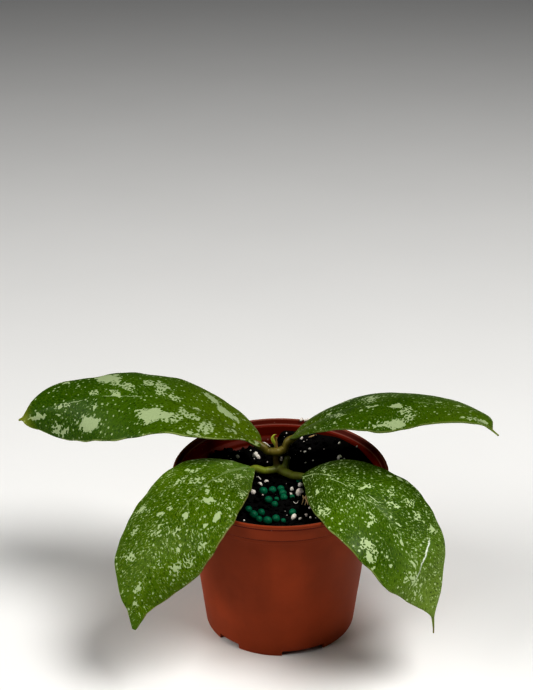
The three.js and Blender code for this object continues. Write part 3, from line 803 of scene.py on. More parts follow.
def wall_heap(random):
    """Crumbs heaped against the wall in the hollow: their places and sizes."""
    heap = WALL_HEAP
    turn = np.radians(heap.turn + heap.reach * random.uniform(-1, 1, heap.count))
    size = 0.6 + 0.7 * random.random(len(turn))
    out = random.random(len(turn)) ** 1.5
    radius = heap.outer - heap.depth * out
    shrink = 1 - (np.degrees(turn) - heap.turn) ** 2 / heap.reach**2
    climb = heap.height * shrink * (1 - out) * random.random(len(turn))
    return on_mix(radius * np.cos(turn), radius * np.sin(turn), climb), size


def soil_material(settings):
    """Damp peat: nearly black, with brown fibres and fine crumbs."""
    s = Shader("potting_mix")
    place = s.place()
    clump = s.noise(place, 3.2, 5.0, 0.65)
    fibre = s.noise(s.stretched(place, (1.0, 3.5, 1.0)), 1.6, 4.0, 0.7)
    tone = s.mix(clump.rise(0.35, 0.68), shade(settings.mix_colour, 0.5), settings.mix_colour)
    tone = s.mix(fibre.rise(0.60, 0.74) * 0.3, tone, PEAT_FIBRE)
    height = clump + fibre * 0.7 + s.noise(place, 0.5, 3.0, 0.6) * 0.5
    return s.surface(tone, 0.80 + 0.15 * clump, s.bump(height, 0.45), Specular_IOR_Level=0.15)


def perlite_material(settings):
    """Expanded perlite: chalky white with tiny open pits, and smeared with mix in places."""
    s = Shader("perlite")
    place = s.place()
    pits = s.cells(place, 0.45)
    smear = s.noise(place, 1.3, 3.0, 0.6)
    batch = s.noise(place, 9.0, 1.0, 0.5)
    tone = s.mix(batch.rise(0.42, 0.62) * 0.5, settings.perlite_colour, DULL_PERLITE)
    tone = s.mix(smear.rise(0.40, 0.75) * 0.5, tone, PERLITE_SMEAR)
    return s.surface(tone, 0.75 + 0.15 * smear, s.bump(pits + smear * 0.4, 0.12), Specular_IOR_Level=0.4)


def bead_material(settings):
    """Coated feed beads: dark emerald with a soft shine and slight mottling."""
    s = Shader("feed_beads")
    mottle = s.noise(s.place(), 0.8, 4.0, 0.6)
    light = [c + BEAD_PALENESS for c in shade(settings.bead_colour, 1.9)]
    tone = s.mix(mottle.rise(0.35, 0.75), settings.bead_colour, light)
    return s.surface(tone, 0.36 + 0.22 * mottle, s.bump(mottle, 0.05), Specular_IOR_Level=0.18)


def fibre_material():
    """Dry bark and coir fibre."""
    s = Shader("bark_fibre")
    strand = s.noise(s.stretched(s.place(), (1.0, 1.0, 4.0)), 0.9, 4.0, 0.65)
    return s.surface(s.ramp(strand, FIBRE_TONES), 0.8, s.bump(strand, 0.1), Specular_IOR_Level=0.3)


def soil_side(turn, top_edge):
    """Rings of the mix's side, close to the pot's wall, from the floor up."""
    rings = []
    for drop, (_, z) in zip(SKIRT_DROPS, POT_INSIDE):
        over_floor = 0.3 if z == POT_INSIDE[0][1] else 0.0
        low = np.minimum(z + over_floor, top_edge - drop)
        rings.append(around(pot_inside_radius(low) - SOIL_GAP, turn, low))
    return rings


def build_soil(settings):
    """The filled body of mix with a fine lumpy top, and loose crumbs on it."""
    turn = np.linspace(0, 2 * np.pi, SOIL_MESH.segments, endpoint=False)
    rim = float(pot_inside_radius(SOIL.level)) - SOIL_GAP - 0.1
    top_edge = soil_height(rim * np.cos(turn), rim * np.sin(turn))
    edge = pot_inside_radius(top_edge - 0.8) - SOIL_GAP
    layers = soil_side(turn, top_edge)
    for share in np.linspace(1, SOIL_MESH.middle, SOIL_MESH.rings):
        top = on_mix(edge * share * np.cos(turn), edge * share * np.sin(turn))
        rough = sum(height * noise_at(top, size, seed) for height, size, seed in SOIL_ROUGHNESS)
        top[:, 2] += rough * min(1.0, 6 * (1.02 - share))
        layers.append(top)
    faces = ring_faces(len(layers), SOIL_MESH.segments)
    material = soil_material(settings)
    finished("soil_body", np.vstack(layers), faces, [material], "soil")

    random = np.random.default_rng(SEEDS.crumbs)
    places, size = scattered(random, settings.crumb_count, CRUMBS)
    random = np.random.default_rng(SEEDS.heap)
    heap, heap_size = wall_heap(random)
    places, size = np.vstack([places, heap]), np.r_[size, heap_size]
    places = clear_of_wall(places, size)
    points, faces = lumps(ball_template(1), random, places, size, UNEVENNESS.crumbs)
    finished("soil_crumbs", points, faces, [material], smooth=False)


def strands(table):
    """Thin strands that lie over the mix, as (points, faces) lists."""
    made = []
    for radius, route in table:
        radii = [radius * share for share in STRAND_RADII]
        made.append(tube([on_mix(x, y, lift) for x, y, lift in route], radii, 20, 8))
    return made


def build_perlite(settings):
    """White perlite: the larger pieces where they lie, and fine dust with some on the wall."""
    random = np.random.default_rng(SEEDS.perlite)
    ball = ball_template(3)
    x, y, size = np.array(PERLITE).T
    large = lumps(ball, random, on_mix(x, y, 0.5 * size), size, UNEVENNESS.perlite)
    on_rim = np.array(RIM_CRUMBS)
    rim = lumps(ball, random, on_rim[:, :3], on_rim[:, 3], UNEVENNESS.on_rim)
    places, size = scattered(random, settings.dust_count, DUST)
    dust = lumps(ball_template(2), random, clear_of_wall(places, size), size, UNEVENNESS.dust)
    points, faces = merged([large, rim, dust, *strands(PALE_STRANDS)])
    finished("perlite", points, faces, [perlite_material(settings)])


def build_beads(settings):
    """Round slow-release feed beads, in two loose heaps in front of the stem."""
    random = np.random.default_rng(SEEDS.beads)
    ball, faces = ball_template(4)
    scale = settings.bead_radius / MM / np.mean([size for _, _, size in BEADS])
    made = []
    for x, y, size in BEADS:
        squash = random.uniform(*BEAD_SQUASH, 3)
        place = on_mix(x, y, 0.55 * scale * size)
        made.append(((ball * squash) @ random_turn(random) * (scale * size) + place, faces))
    points, faces = merged(made)
    finished("feed_beads", points, faces, [bead_material(settings)])


def build_litter():
    """Strands of coir and flakes of bark that lie on the mix."""
    random = np.random.default_rng(SEEDS.litter)
    made = strands(COIR_STRANDS)
    ball, faces = ball_template(3)
    for x, y, turn, long, wide in FLAKES:
        own = ball * (1 + UNEVENNESS.bark * random.uniform(-1, 1, (len(ball), 1)))
        own = np.sign(own) * np.abs(own) ** 0.8 * (long / 2, wide / 2, FLAKE.half_thick)
        own[:, 2] += 0.5 * np.sin(own[:, 0] * 0.6)
        c, s = math.cos(math.radians(turn)), math.sin(math.radians(turn))
        own = own @ np.array([[c, s, 0], [-s, c, 0], [0, 0, 1]])
        made.append((own + on_mix(x, y, FLAKE.lift), faces))
    points, faces = merged(made)
    finished("bark_and_fibre", points, faces, [fibre_material()])


# ------------------------------------------------------------------ leaves

# A blade's thickness at its middle and margin, the depth of its rib, how far its halves swell, half
# its width at the foot, the half width from which it folds fully, and its margin's roundness.
BLADE = SimpleNamespace(middle=1.3, margin=0.8, rib=1.2, pillow=0.06, foot=1.0, fold_from=8.0, rim=0.28)
GROOVE = SimpleNamespace(depth=0.22, half_width=0.7, fade=1.4)
PETIOLE_RADIUS = 1.95
PETIOLE_RADII = (1.0, 0.97, 1.02)  # shares of its radius, from the node to the blade
RIB_RADII = (1.35, 1.0, 0.6)
MIDRIB_SAMPLES = 4  # to each row of a blade
COLUMN_CROWDING = 1.25  # towards the midrib; at 1 the columns are even
NOISE_STEP = 11.0  # from one leaf's place in the noise to the next
VEIN_GAP = 8.5  # between side veins, along the midrib
VEIN_LEAN = 0.75  # how far they run forward for each millimetre across


def leaf_of(pair, **own):
    """A leaf's measures: its own, with those that its pair shares."""
    return SimpleNamespace(**{"bend": None, "crest": None, **pair, **own})


# Each leaf's midrib starts at base and runs for length. heading and pitch are the control values
# of a smooth curve in degrees, roll turns the blade and the folds lift its halves. shape is the
# blade's lean, bluntness and sharpness. tip is how far the drip tip runs past the blade, its whole
# length and its half width. A swell (side, place, size, reach) widens one side there, and the bend
# (place, degrees, reach) is where the blade droops more sharply. The crest (place along, half width)
# is a fine raised crease across the bend with a painted highlight along it. The petiole bends at its
# elbow, as a share of its way, and sags there.
# Solid patches, lacy patches and thin streaks are ovals (along, across, half length, half width)
# in millimetres, some with a turn in degrees; the lower left leaf's wide streaks along its midrib
# are a painted sheen. lace_span is how far a lacy patch is closed at its middle, how it opens
# towards its rim and how it ends there; holes is the size of its holes.
UPPER_PAIR = dict(node=UPPER_NODE, elbow=0.66, slot="upper_leaf")
LOWER_PAIR = dict(node=LOWER_NODE, elbow=0.5, sag=1.5, slot="lower_leaf", holes=1.2)

LEAVES = {
    "leaf_upper_left": leaf_of(
        UPPER_PAIR,
        base=(-9.6, 9, 92.3), length=132, half_width=27.5, sag=1.4,
        heading=(172, 173, 171), pitch=(31.1, 37, -33, -26), roll=(8, -12),
        fold_right=(2, 4, -32, 25), fold_left=(11, -2, -32, -75),
        shape=(0.83, 0.44, 0.58), tip=(2, 9, 2.6), ripple=(0.5, 3.2, 0.4),
        swells=(
            (1, 0.05, -13, 0.065), (1, 0.1, -2.6, 0.07), (1, 0.36, -1.2, 0.07), (1, 0.86, 1, 0.08),
            (-1, 0.57, 2, 0.05), (-1, 0.7, -3, 0.05), (-1, 0.88, 5.5, 0.07),
        ),
        greens=((0.029, 0.079, 0.001), (0.052, 0.112, 0.002)),
        far_green=(0.031, 0.08, 0.001), foot_green=(0.122, 0.175, 0.002), foot_reach=0.55,
        tip_green=(0.22, 0.23, 0.03), margins=((0.16, 0.065, 0.02), (0.26, 0.31, 0.11)),
        gloss=0.11, pale=0.98, flecks=0.3, streak_strength=0.7,
        holes=1.6, lace_span=(0.22, 0.14, 0.5),
        patches=(
            (56, 15.5, 5.6, 5.6), (50.5, 14, 3.4, 2.6), (92, 15, 7.6, 4.2, -12), (22, -8.5, 7, 3.4, -18),
            (31, -15.5, 6.5, 3.2, -35), (86, -17, 8, 5.6, -35), (107.5, -16.5, 1.8, 1.6), (16, 8, 1.4, 2),
            (36.5, 0.8, 2.6, 1), (3, 4, 1.2, 5), (100, -10.5, 1.1, 1.2), (62, -11, 1.1, 1.4),
            (76, 1.2, 2.6, 0.9, -20), (123, 2.4, 3, 0.9, -5), (110, 5.2, 2.2, 0.6, -8),
            (63, 12.8, 1.6, 0.7, 10),
        ),
        lace=(
            (29.5, 16.5, 3.8, 6.4, -12), (38.5, 10.5, 6, 3, -12), (46.5, 15, 6.2, 4.2, 10),
            (43, 7.5, 2.6, 3.2), (34, 24, 3.6, 1.5, -10), (10.5, 12.5, 3.2, 2.6, 30),
            (48.5, -2, 3.6, 2.6, -20), (56, -3.5, 3.2, 3), (57, -10.5, 3.6, 6, 20), (64, -12, 3, 4, 20),
            (73, -6, 5.5, 3.2, -38), (78.5, -1, 3, 2.2, -20), (80, -12, 3, 6), (89, -2, 3, 2.2, -30),
            (88.5, 6.5, 2.4, 1.4), (112, 12.5, 6, 2.4, -15), (106, 2, 4, 1.6, -15),
            (121, 2.5, 5.5, 1.8, -5), (19, 10, 1.6, 3),
        ),
        streaks=(
            (69, 2.3, 7, 0.3), (79, 2, 6, 0.4, -6), (16.5, -2, 0.8, 1.6, 20), (12, 0.2, 12, 0.22),
            (98, 1.8, 5, 0.3, -4),
        ),
    ),
    "leaf_upper_right": leaf_of(
        UPPER_PAIR,
        base=(4.7, 8.9, 95.7), length=114.5, half_width=27.5, sag=2.5,
        heading=(-4, -16, -50), pitch=(40, 26, 7, -20), roll=(-27, -41),
        fold_right=(-13, -15, -87, 0), fold_left=(21, 24, -2, 29),
        shape=(1, 0.64, 0.73), tip=(4, 6, 1.2), ripple=(0.5, 2.7, 1.9),
        swells=((1, 0.2, -2, 0.12), (1, 0.9, 4.5, 0.06), (-1, 0.1, -1, 0.06), (-1, 0.85, 0.6, 0.06)),
        greens=((0.03, 0.073, 0.001), (0.05, 0.105, 0.002)),
        far_green=(0.09, 0.15, 0.004), foot_green=(0.085, 0.12, 0.003), foot_reach=0.25,
        tip_green=(0.17, 0.18, 0.03), margins=((0.15, 0.18, 0.05), (0.075, 0.07, 0.01)),
        gloss=0.08, pale=0.95, flecks=0.35, streak_strength=0.5,
        holes=1.5, lace_span=(0.24, 0.22, 0.4),
        patches=(
            (62, -9, 3.6, 3, -15), (68, -22.5, 6.5, 2.6), (44.5, -10, 1.2, 1.6),
            (47.5, -7.2, 2.4, 1.2, -10), (97.4, -8, 1.1, 1.1), (89, 2.6, 1.1, 1.6),
            (51.4, -21.8, 0.8, 0.7), (18.7, -13.2, 0.8, 1.4, 20), (31.4, -18.2, 0.9, 0.8),
            (105, -1, 2.4, 2.2, -10), (23, 1.8, 2.2, 0.9),
        ),
        lace=(
            (68.5, -13, 3.6, 4.2, -50), (72, -18, 3.8, 4.6), (61, -23.5, 7, 2.2), (57, -24, 3.4, 1.6),
            (44, 6, 4, 7.5, 30), (31, -9, 6.5, 2.4, -30), (100.5, -5.5, 2, 2.6), (104, -2, 4, 3.4),
            (80, 0, 2, 2), (30, 14, 5, 3, 20), (62, 18, 6, 3.6, -15), (80, 15, 4, 3), (50, -7, 2.6, 1.6),
        ),
        streaks=(
            (22.8, -3, 0.35, 4, 18), (74, -3.4, 6.5, 0.35, 3), (28, -6, 5, 0.5, -40), (8, 0, 8, 0.2),
        ),
    ),
    "leaf_lower_left": leaf_of(
        LOWER_PAIR,
        base=(-13.3, 3.4, 82.5), length=116.5, half_width=28,
        heading=(231, 228, 242), pitch=(23, 7, -61, -73), roll=(-1, 8),
        fold_right=(11, 12, -54, 36), fold_left=(-37, 16, -6, -54),
        shape=(1.04, 0.8, 1.11), tip=(2.5, 8, 4.6), ripple=(0.6, 2.9, 3.1),
        swells=(
            (1, 0.2, -0.8, 0.15), (1, 0.68, 1.4, 0.1), (1, 0.87, 1.6, 0.09), (-1, 0.48, -1.6, 0.16),
            (-1, 0.77, 4.2, 0.08), (-1, 0.9, 3, 0.05),
        ),
        greens=((0.052, 0.108, 0.001), (0.082, 0.152, 0.002)),
        # The greyish foot tint here is a painted sheen over the blade's foot.
        far_green=(0.075, 0.14, 0.004), foot_green=(0.125, 0.215, 0.045), foot_reach=0.28,
        tip_green=(0.07, 0.135, 0.006), margins=((0.36, 0.43, 0.17), (0.24, 0.23, 0.08)),
        gloss=0.05, pale=1.08, flecks=0.8, streak_strength=0.3,
        lace_span=(0.28, 0.26, 0.3),
        patches=(
            (45.5, 10.5, 2.1, 3.6, 12), (58, 6.8, 1.7, 1.7), (74, 11.5, 1.9, 1.2), (52, 20, 3.6, 1.6),
            (59, 18.3, 1.4, 1.2, 20), (41.5, 5.6, 2.4, 1.2, 35), (61.5, -6.8, 2.3, 1.3, -40),
            (34.3, -13.5, 0.9, 2.2, -10), (62, -20.8, 1.4, 1.8), (67, -3.6, 0.9, 0.9),
            (82.5, 13.6, 2.2, 1.4, -15), (97.5, -0.6, 1.6, 1.1), (85, -10.5, 0.9, 2),
            (37.5, 1.8, 1.6, 0.8, 40),
        ),
        lace=(
            (19, 5.5, 4.6, 2.6, 15), (31, 4.2, 3.6, 2.2), (30.5, 18.5, 4.6, 2.4, 20),
            (44.5, 21, 1.6, 2.2), (82, 14, 4.4, 3, -15), (68, 22.5, 2.6, 2), (37.5, -4, 4.2, 2.4, -30),
            (34, -9.8, 4, 1.4, -8), (42, -11, 4, 1.8, 10), (57.5, -4, 1.6, 2.6, -30),
            (71.5, -3, 1.8, 4, 10), (97.5, -1.2, 4.2, 1.8), (104, -1, 2.2, 1.4),
            (15.5, -5.5, 3.6, 1.8, -10), (67, 7, 3.4, 2), (83, 5.5, 1.6, 2.6, -30), (62, -20.5, 2.6, 3),
            (74, -17, 3.4, 3), (86, -12, 2.2, 5, 10), (77, 19, 3.6, 3), (8, -7, 4, 1.6, -35),
        ),
        # Painted sheen: the two wide streaks along the midrib.
        streaks=((52, 2.4, 8, 0.5), (14, 0.2, 14, 1.1), (34, 0.8, 12, 0.9, 2)),
    ),
    "leaf_lower_right": leaf_of(
        LOWER_PAIR,
        base=(11.2, -7.2, 84.8), length=120, half_width=27,
        heading=(-56, -32, -19), pitch=(37, -25, -60, -89), roll=(16, 6),
        fold_right=(-38, 23, 6, -38), fold_left=(5, -21, -4, 19),
        bend=(0.69, 10, 0.04), crest=(83.4, 0.75),
        shape=(1.05, 0.73, 1.11), tip=(7.5, 9, 0.7), ripple=(0.6, 3.1, 5),
        swells=(
            (1, 0.27, -0.8, 0.1), (1, 0.65, 1.8, 0.08), (1, 0.9, 1.4, 0.05), (-1, 0.58, -0.4, 0.05),
            (-1, 0.71, 2.4, 0.06), (-1, 0.9, -1.2, 0.05),
        ),
        greens=((0.042, 0.098, 0.001), (0.074, 0.15, 0.002)),
        # The pale far-end tint here is painted light and sheen on the drooping end.
        far_green=(0.25, 0.35, 0.062), foot_green=(0.03, 0.062, 0.004), foot_reach=0.48,
        tip_green=(0.19, 0.15, 0.05), margins=((0.22, 0.27, 0.08), (0.08, 0.13, 0.01)),
        gloss=0.15, pale=1.28, flecks=0.75, streak_strength=0.8,
        lace_span=(0.28, 0.26, 0.3),
        patches=(
            (64.5, -22.3, 3, 1.3), (60, -18.5, 1.6, 1.4), (46.3, 24.2, 2, 1.5),
            (41.3, 20.3, 1.8, 1.2, 15), (72.8, -15.6, 1.2, 1.2), (53.8, -9.8, 0.7, 2.2, 15),
            (80, -4.6, 1.7, 0.8), (69.6, -2.2, 1.8, 1.1), (62.2, 2.9, 1.7, 0.8), (38.6, 4.6, 0.6, 2.4),
            (22.5, -10.2, 1.4, 1.4, -20), (74.5, 19.2, 1.7, 0.9),
        ),
        lace=(
            (61.5, -19.5, 4.6, 4), (65, -22, 3.6, 2.4), (58.5, 16.6, 4.2, 2.4, 30),
            (64.5, 14.8, 3.2, 2.2), (39.5, 6.8, 2.6, 2, 20), (53.5, 7.5, 4, 2.2, 20),
            (49, 12.5, 2, 3, 20), (52.6, -6.4, 2.6, 1.6), (39, -5, 1.6, 2.6), (34, -19, 4.6, 3, -20),
            (19.5, -13.8, 3.2, 1.6, -10), (85.5, -8.5, 4.6, 3, 25), (83.5, -12.5, 2.4, 1.6),
            (92.5, -8.8, 1.6, 2.6, -30), (97, -6, 3, 1.4, 20), (75.5, 18, 2, 4, -20), (14, 3, 2.4, 1.2),
        ),
        streaks=(
            (8, -1.6, 9, 0.42, 9), (19, 0.2, 5.5, 0.3, 6), (28, -0.9, 6.5, 0.3, 6),
            (46, 2.6, 4.2, 0.3, 3),
        ),
    ),
}

LEFT_HALF = (-0.1, 0.1)  # steps from the right half of a blade to the left one
# Painted highlight: the pale glint colour along a leaf's crest.
PAINTED_CREST_GLINT = (0.85, 0.90, 0.80)
WAX = SimpleNamespace(roughness=0.27, ior=1.45)
UNDER_RIB = (0.24, 0.29, 0.09)


def ease(values, t):
    """A smooth curve through its first and last control value (a Bezier curve in one number)."""
    if len(values) == 1:
        return np.full_like(t, float(values[0]))
    return ease(values[:-1], t) * (1 - t) + ease(values[1:], t) * t


def hill(t, place, reach):
    """A rounded step of 1 that falls away on both sides of its place."""
    return np.exp(-(((t - place) / reach) ** 2))


def half_width(leaf, t, side):
    """Half the blade's width at t, with the swells of one side."""
    lean, blunt, sharp = leaf.shape
    past, tip_length, tip_half = leaf.tip
    x = np.minimum(1.0, t / (1 - past / leaf.length))
    hump = np.sin(np.pi * x**lean).clip(0, 1)
    blade = leaf.half_width * hump ** (blunt + (sharp - blunt) * x * x)
    for of_side, place, size, reach in leaf.swells:
        if of_side == side:
            blade = blade + size * hump**0.5 * hill(t, place, reach)
    taper = (1 - (1 - t) * leaf.length / tip_length).clip(0, 1)
    return np.maximum(np.where(t < 0.5, BLADE.foot, tip_half * (1 - 0.8 * taper)), blade)


def midrib(leaf, rows):
    """Places along the midrib, from 0 to 1 along it, with the blade's cross directions."""
    t = np.linspace(0, 1, rows * MIDRIB_SAMPLES + 1)
    climb = ease(leaf.pitch, t)
    if leaf.bend:
        place, degrees, reach = leaf.bend
        climb = climb + degrees * (hill(t, place - reach, reach) - hill(t, place + reach, reach))
    heading, pitch = np.radians(ease(leaf.heading, t)), np.radians(climb)
    level_way = np.stack([np.cos(heading), np.sin(heading)], 1) * np.cos(pitch)[:, None]
    forward = np.hstack([level_way, np.sin(pitch)[:, None]])
    step = leaf.length / (len(t) - 1) * (forward[1:] + forward[:-1]) / 2
    place = np.array(leaf.base) + np.vstack([np.zeros(3), np.cumsum(step, 0)])
    level = np.stack([-np.sin(heading), np.cos(heading), 0 * heading], 1)
    roll = np.radians(ease(leaf.roll, t))[:, None]
    side = level * np.cos(roll) + np.cross(forward, level) * np.sin(roll)
    up = np.cross(forward, side)
    return [values[::MIDRIB_SAMPLES] for values in (t, place, forward, side, up)]


def blade_faces(leaf, rows, columns):
    """The blade's upper, lower and middle faces as grids of points, with the leaf maps: each
    point's place along and across, and its distance to the margin and share of the length."""
    t, place, _, side, up = midrib(leaf, rows)
    t, place, side, up = t[:, None], place[:, None], side[:, None], up[:, None]
    share = np.linspace(-1, 1, columns + 1)
    u = (np.sign(share) * np.abs(share) ** COLUMN_CROWDING)[None, :]
    reach, hand = np.abs(u), np.sign(u)
    size, count, phase = leaf.ripple
    w = np.where(u < 0, half_width(leaf, t, -1), half_width(leaf, t, 1))
    wobble = 0.22 * np.sin(43 * t + 2 * hand) + 0.15 * np.sin(71 * t + phase * hand)
    w = w + wobble * np.minimum(1, w / 20)
    fold = np.where(u < 0, ease(leaf.fold_right, t), ease(leaf.fold_left, t))
    fold = np.radians(fold * np.minimum(1, w / BLADE.fold_from))
    ripple = size * np.sin(np.pi * t) * np.sin(2 * np.pi * count * t + phase)
    pillow = 4 * BLADE.pillow * (reach - reach**2)
    rise = w * (reach * np.sin(fold) + pillow) + ripple * reach**3
    along, across = t * leaf.length + 0 * u, w * u
    vein = np.cos(2 * np.pi * (along - VEIN_LEAN * np.abs(across)) / VEIN_GAP)
    quilt = 0.03 * vein * (reach * (1 - reach) * 4) * np.minimum(1, w / 12)
    middle = place + side * (w * u * np.cos(fold))[..., None] + up * (rise + quilt)[..., None]
    lean = (-hand * fold * np.minimum(1, 4 * reach))[..., None]
    outward = up * np.cos(lean) + side * np.sin(lean)
    half = (BLADE.middle + (BLADE.margin - BLADE.middle) * reach) / 2
    half = half * (1 - 0.45 * ((t - 0.88) / 0.1).clip(0, 1))
    groove = GROOVE.depth * hill(across, 0, GROOVE.half_width) * (1 - t) ** GROOVE.fade
    rib = np.minimum(BLADE.rib, w) * hill(across, 0, 1.0) * (1 - t) ** 0.6
    upper = middle + outward * (half - groove)[..., None]
    lower = middle - outward * (half + rib)[..., None]
    maps = {"Plane": (along, across), "Margin": (w * (1 - reach), along / leaf.length)}
    return upper, lower, middle, maps


def blade(leaf, rows, columns):
    """The blade as one closed skin with a rounded margin: points, faces, how many of the first
    faces are upper ones, and the leaf maps."""
    upper, lower, middle, maps = blade_faces(leaf, rows, columns)
    size = (rows + 1) * (columns + 1)
    grid = np.arange(size).reshape(rows + 1, columns + 1)
    a, b, c, d = grid[:-1, :-1], grid[:-1, 1:], grid[1:, 1:], grid[1:, :-1]
    top, under = quads(a, d, c, b), quads(a, b, c, d) + size
    loop = np.concatenate([grid[0, :-1], grid[:-1, -1], grid[-1, :0:-1], grid[:0:-1, 0]])
    inward = np.concatenate([grid[1, :-1], grid[:-1, -2], grid[-2, :0:-1], grid[:0:-1, 1]])
    flat = middle.reshape(-1, 3)
    away = flat[loop] - flat[inward]
    away /= np.linalg.norm(away, axis=1)[:, None] + 1e-9
    points = np.vstack([upper.reshape(-1, 3), lower.reshape(-1, 3), flat[loop] + away * BLADE.rim])
    ring = 2 * size + np.arange(len(loop))
    after, ring_after = np.roll(loop, -1), np.roll(ring, -1)
    rim_top = quads(loop, after, ring_after, ring)
    rim_under = quads(ring, ring_after, after + size, loop + size)
    faces = np.vstack([top, rim_top, under, rim_under])
    sheets = {}
    for name, pair in maps.items():
        pair = np.stack([np.broadcast_to(half, grid.shape) for half in pair], -1).reshape(-1, 2)
        sheets[name] = np.vstack([pair, pair, pair[loop]])
    return points, faces.tolist(), len(top) + len(rim_top), sheets


def petiole_path(leaf):
    """From inside the stem's node to the blade, and on under it, where it becomes the rib."""
    _, place, forward, _, up = midrib(leaf, 24)
    node = np.array(leaf.node)
    joint = place[0] - 1.5 * forward[0] - 0.35 * up[0]
    bend = node + leaf.elbow * (joint - node) - (0, 0, leaf.sag)
    under = [place[k] - depth * up[k] for k, depth in ((1, 0.95), (2, 1.0), (3, 0.9))]
    return [node, bend, joint, *under]


def out_of_nearest(s, plane, ovals):
    """How far out a point lies of the nearest of several ovals."""
    nearest, *others = [s.out_of_oval(plane, *oval) for oval in ovals]
    for other in others:
        nearest = nearest.least(other)
    return nearest


def leaf_green(s, leaf, share, cloud, tissue, fine):
    """The blade's green: cloudy, netted with light and dark, and tinted at its foot and far end. The
    lower left leaf's foot tint is a painted sheen; the lower right leaf's far tint is painted light
    and sheen.
    """
    deep, light = leaf.greens
    yellow = [1.7 * light[0], 1.3 * light[1], light[2]]
    green = s.mix(cloud.rise(0.34, 0.68), deep, light)
    # On the lower right leaf the far-end tint is painted light and sheen; on the lower left leaf the foot
    # tint is a painted sheen.
    green = s.mix(share.rise(0.55, 0.92) * 0.7, green, leaf.far_green)
    green = s.mix(share.rise(leaf.foot_reach, 0.02) * 0.75, green, leaf.foot_green)
    green = s.mix(tissue.rise(0.44, 0.66) * 0.65, green, yellow)
    return s.mix(fine.rise(0.48, 0.32) * 0.7, green, shade(deep, 0.36))


def sage_cover(s, leaf, plane, along, across, tissue, fine, coarse):
    """Where the blade is pale: patches, flecks, dots and streaks, the lower left leaf's wide streaks
    being a painted sheen. A solid patch is filled up to its ragged rim; a lacy one is a sheet with
    holes that widen towards its rim."""
    bend = s.parts(s.noise(plane, 4.5, 3.0, 0.6, "Color"))
    swirled = s.together(along + (bend[0] - 0.5) * 6.0, across + (bend[1] - 0.5) * 6.0, 0.0)
    crinkled = s.together(along + (bend[1] - 0.5) * 3.0, across + (bend[0] - 0.5) * 3.0, 0.0)
    ragged = (coarse - 0.5) * 1.6 + (fine - 0.5) * 1.1
    solid = (1.0 - out_of_nearest(s, swirled, leaf.patches) + ragged).rise(0.05, 0.12)
    closed, opening, edge = leaf.lace_span
    out = out_of_nearest(s, swirled, leaf.lace)
    lace = closed + opening * out + edge * out.rise(0.8, 1.15) - ragged * 0.15
    holes = s.cells(crinkled, leaf.holes, flat=True) + (fine - 0.5) * 0.9
    lace = (holes - lace).rise(0.0, 0.06)

    crowd = s.noise(plane, 8.0, 3.0, 0.55) - 0.5
    limit = 0.70 - 0.09 * leaf.flecks
    fleck = (fine + crowd * 0.32).rise(limit, limit + 0.025)
    faint = (tissue + crowd * 0.25).rise(limit - 0.02, limit + 0.02) * 0.4
    chance = s.parts(s.cells(plane, 2.4, "Color"))[0]
    dot = (s.cells(plane, 2.4) + (tissue - 0.5) * 0.5 - chance * 0.22).rise(0.08, 0.04)
    dot = dot * (0.55 + 0.45 * chance)
    wavy = s.together(along, across + (coarse - 0.5) * 1.5, 0.0)
    # Streaks: pale lines, and on the lower left leaf a painted sheen along the midrib.
    streak_and_sheen = 1.0 - out_of_nearest(s, wavy, leaf.streaks) + (fine - 0.5) * 1.5
    streak_and_sheen = streak_and_sheen.rise(0.0, 0.3) * leaf.streak_strength
    return solid.most(lace).most(dot).most(fleck).most(faint).most(streak_and_sheen)


def leaf_material(name, leaf, settings, seed):
    """The upper face: waxy green with sage patches, a thin pale margin, a tinted tip and a painted
    highlight along the crest of a leaf that has one.
    """
    s = Shader(name + "_upper")
    along, across = s.sheet("Plane")
    to_margin, share = s.sheet("Margin")
    plane = s.together(along, across, seed)
    reach, left = abs(across), across.rise(*LEFT_HALF)
    vein_way = s.together(along - VEIN_LEAN * reach, reach * 0.8, left * 9.0 + seed)
    cloud = s.noise(plane, 24.0, 3.0, 0.5)
    tissue = s.noise(vein_way, 0.8, 3.0, 0.65)
    fine = s.noise(vein_way, 1.1, 3.0, 0.6)
    coarse = s.noise(vein_way, 3.0, 4.0, 0.62)

    green = leaf_green(s, leaf, share, cloud, tissue, fine)
    pale = sage_cover(s, leaf, plane, along, across, tissue, fine, coarse)
    sage = shade(settings.sage, leaf.pale)
    sage = s.mix(tissue, shade(sage, 0.80), shade(sage, 1.15))
    tone = s.mix(pale * 0.95, green, sage)
    edge = to_margin.rise(0.45, 0.1) * s.noise(plane, 6.0, 3.0, 0.6).rise(0.36, 0.58)
    tone = s.mix(edge * 0.8, tone, s.mix(left, *leaf.margins))
    tone = s.mix(share.rise(0.93, 0.99) * 0.75, tone, leaf.tip_green)
    height = tissue * 0.7 + coarse * 0.5
    if leaf.crest:
        crest_at, crest_half = leaf.crest
        off = along - crest_at + 0.45 * across + (coarse - 0.5) * 2.2
        crest = abs(off).rise(crest_half, 0.0) * abs(across - 2.5).rise(11.0, 8.0)
        # Painted highlight: a pale glint along the crease, brighter on the blade's left half.
        tone = s.mix(crest * (0.5 + 0.45 * across.rise(-3.0, 3.0)), tone, PAINTED_CREST_GLINT)
        height = height + crest * 6.0
    rough = 0.46 + 0.12 * tissue + 0.06 * pale
    wax = {"Coat_Weight": leaf.gloss, "Coat_Roughness": WAX.roughness, "Coat_IOR": WAX.ior}
    return s.surface(tone, rough, s.bump(height, 0.06), Specular_IOR_Level=0.07, **wax)


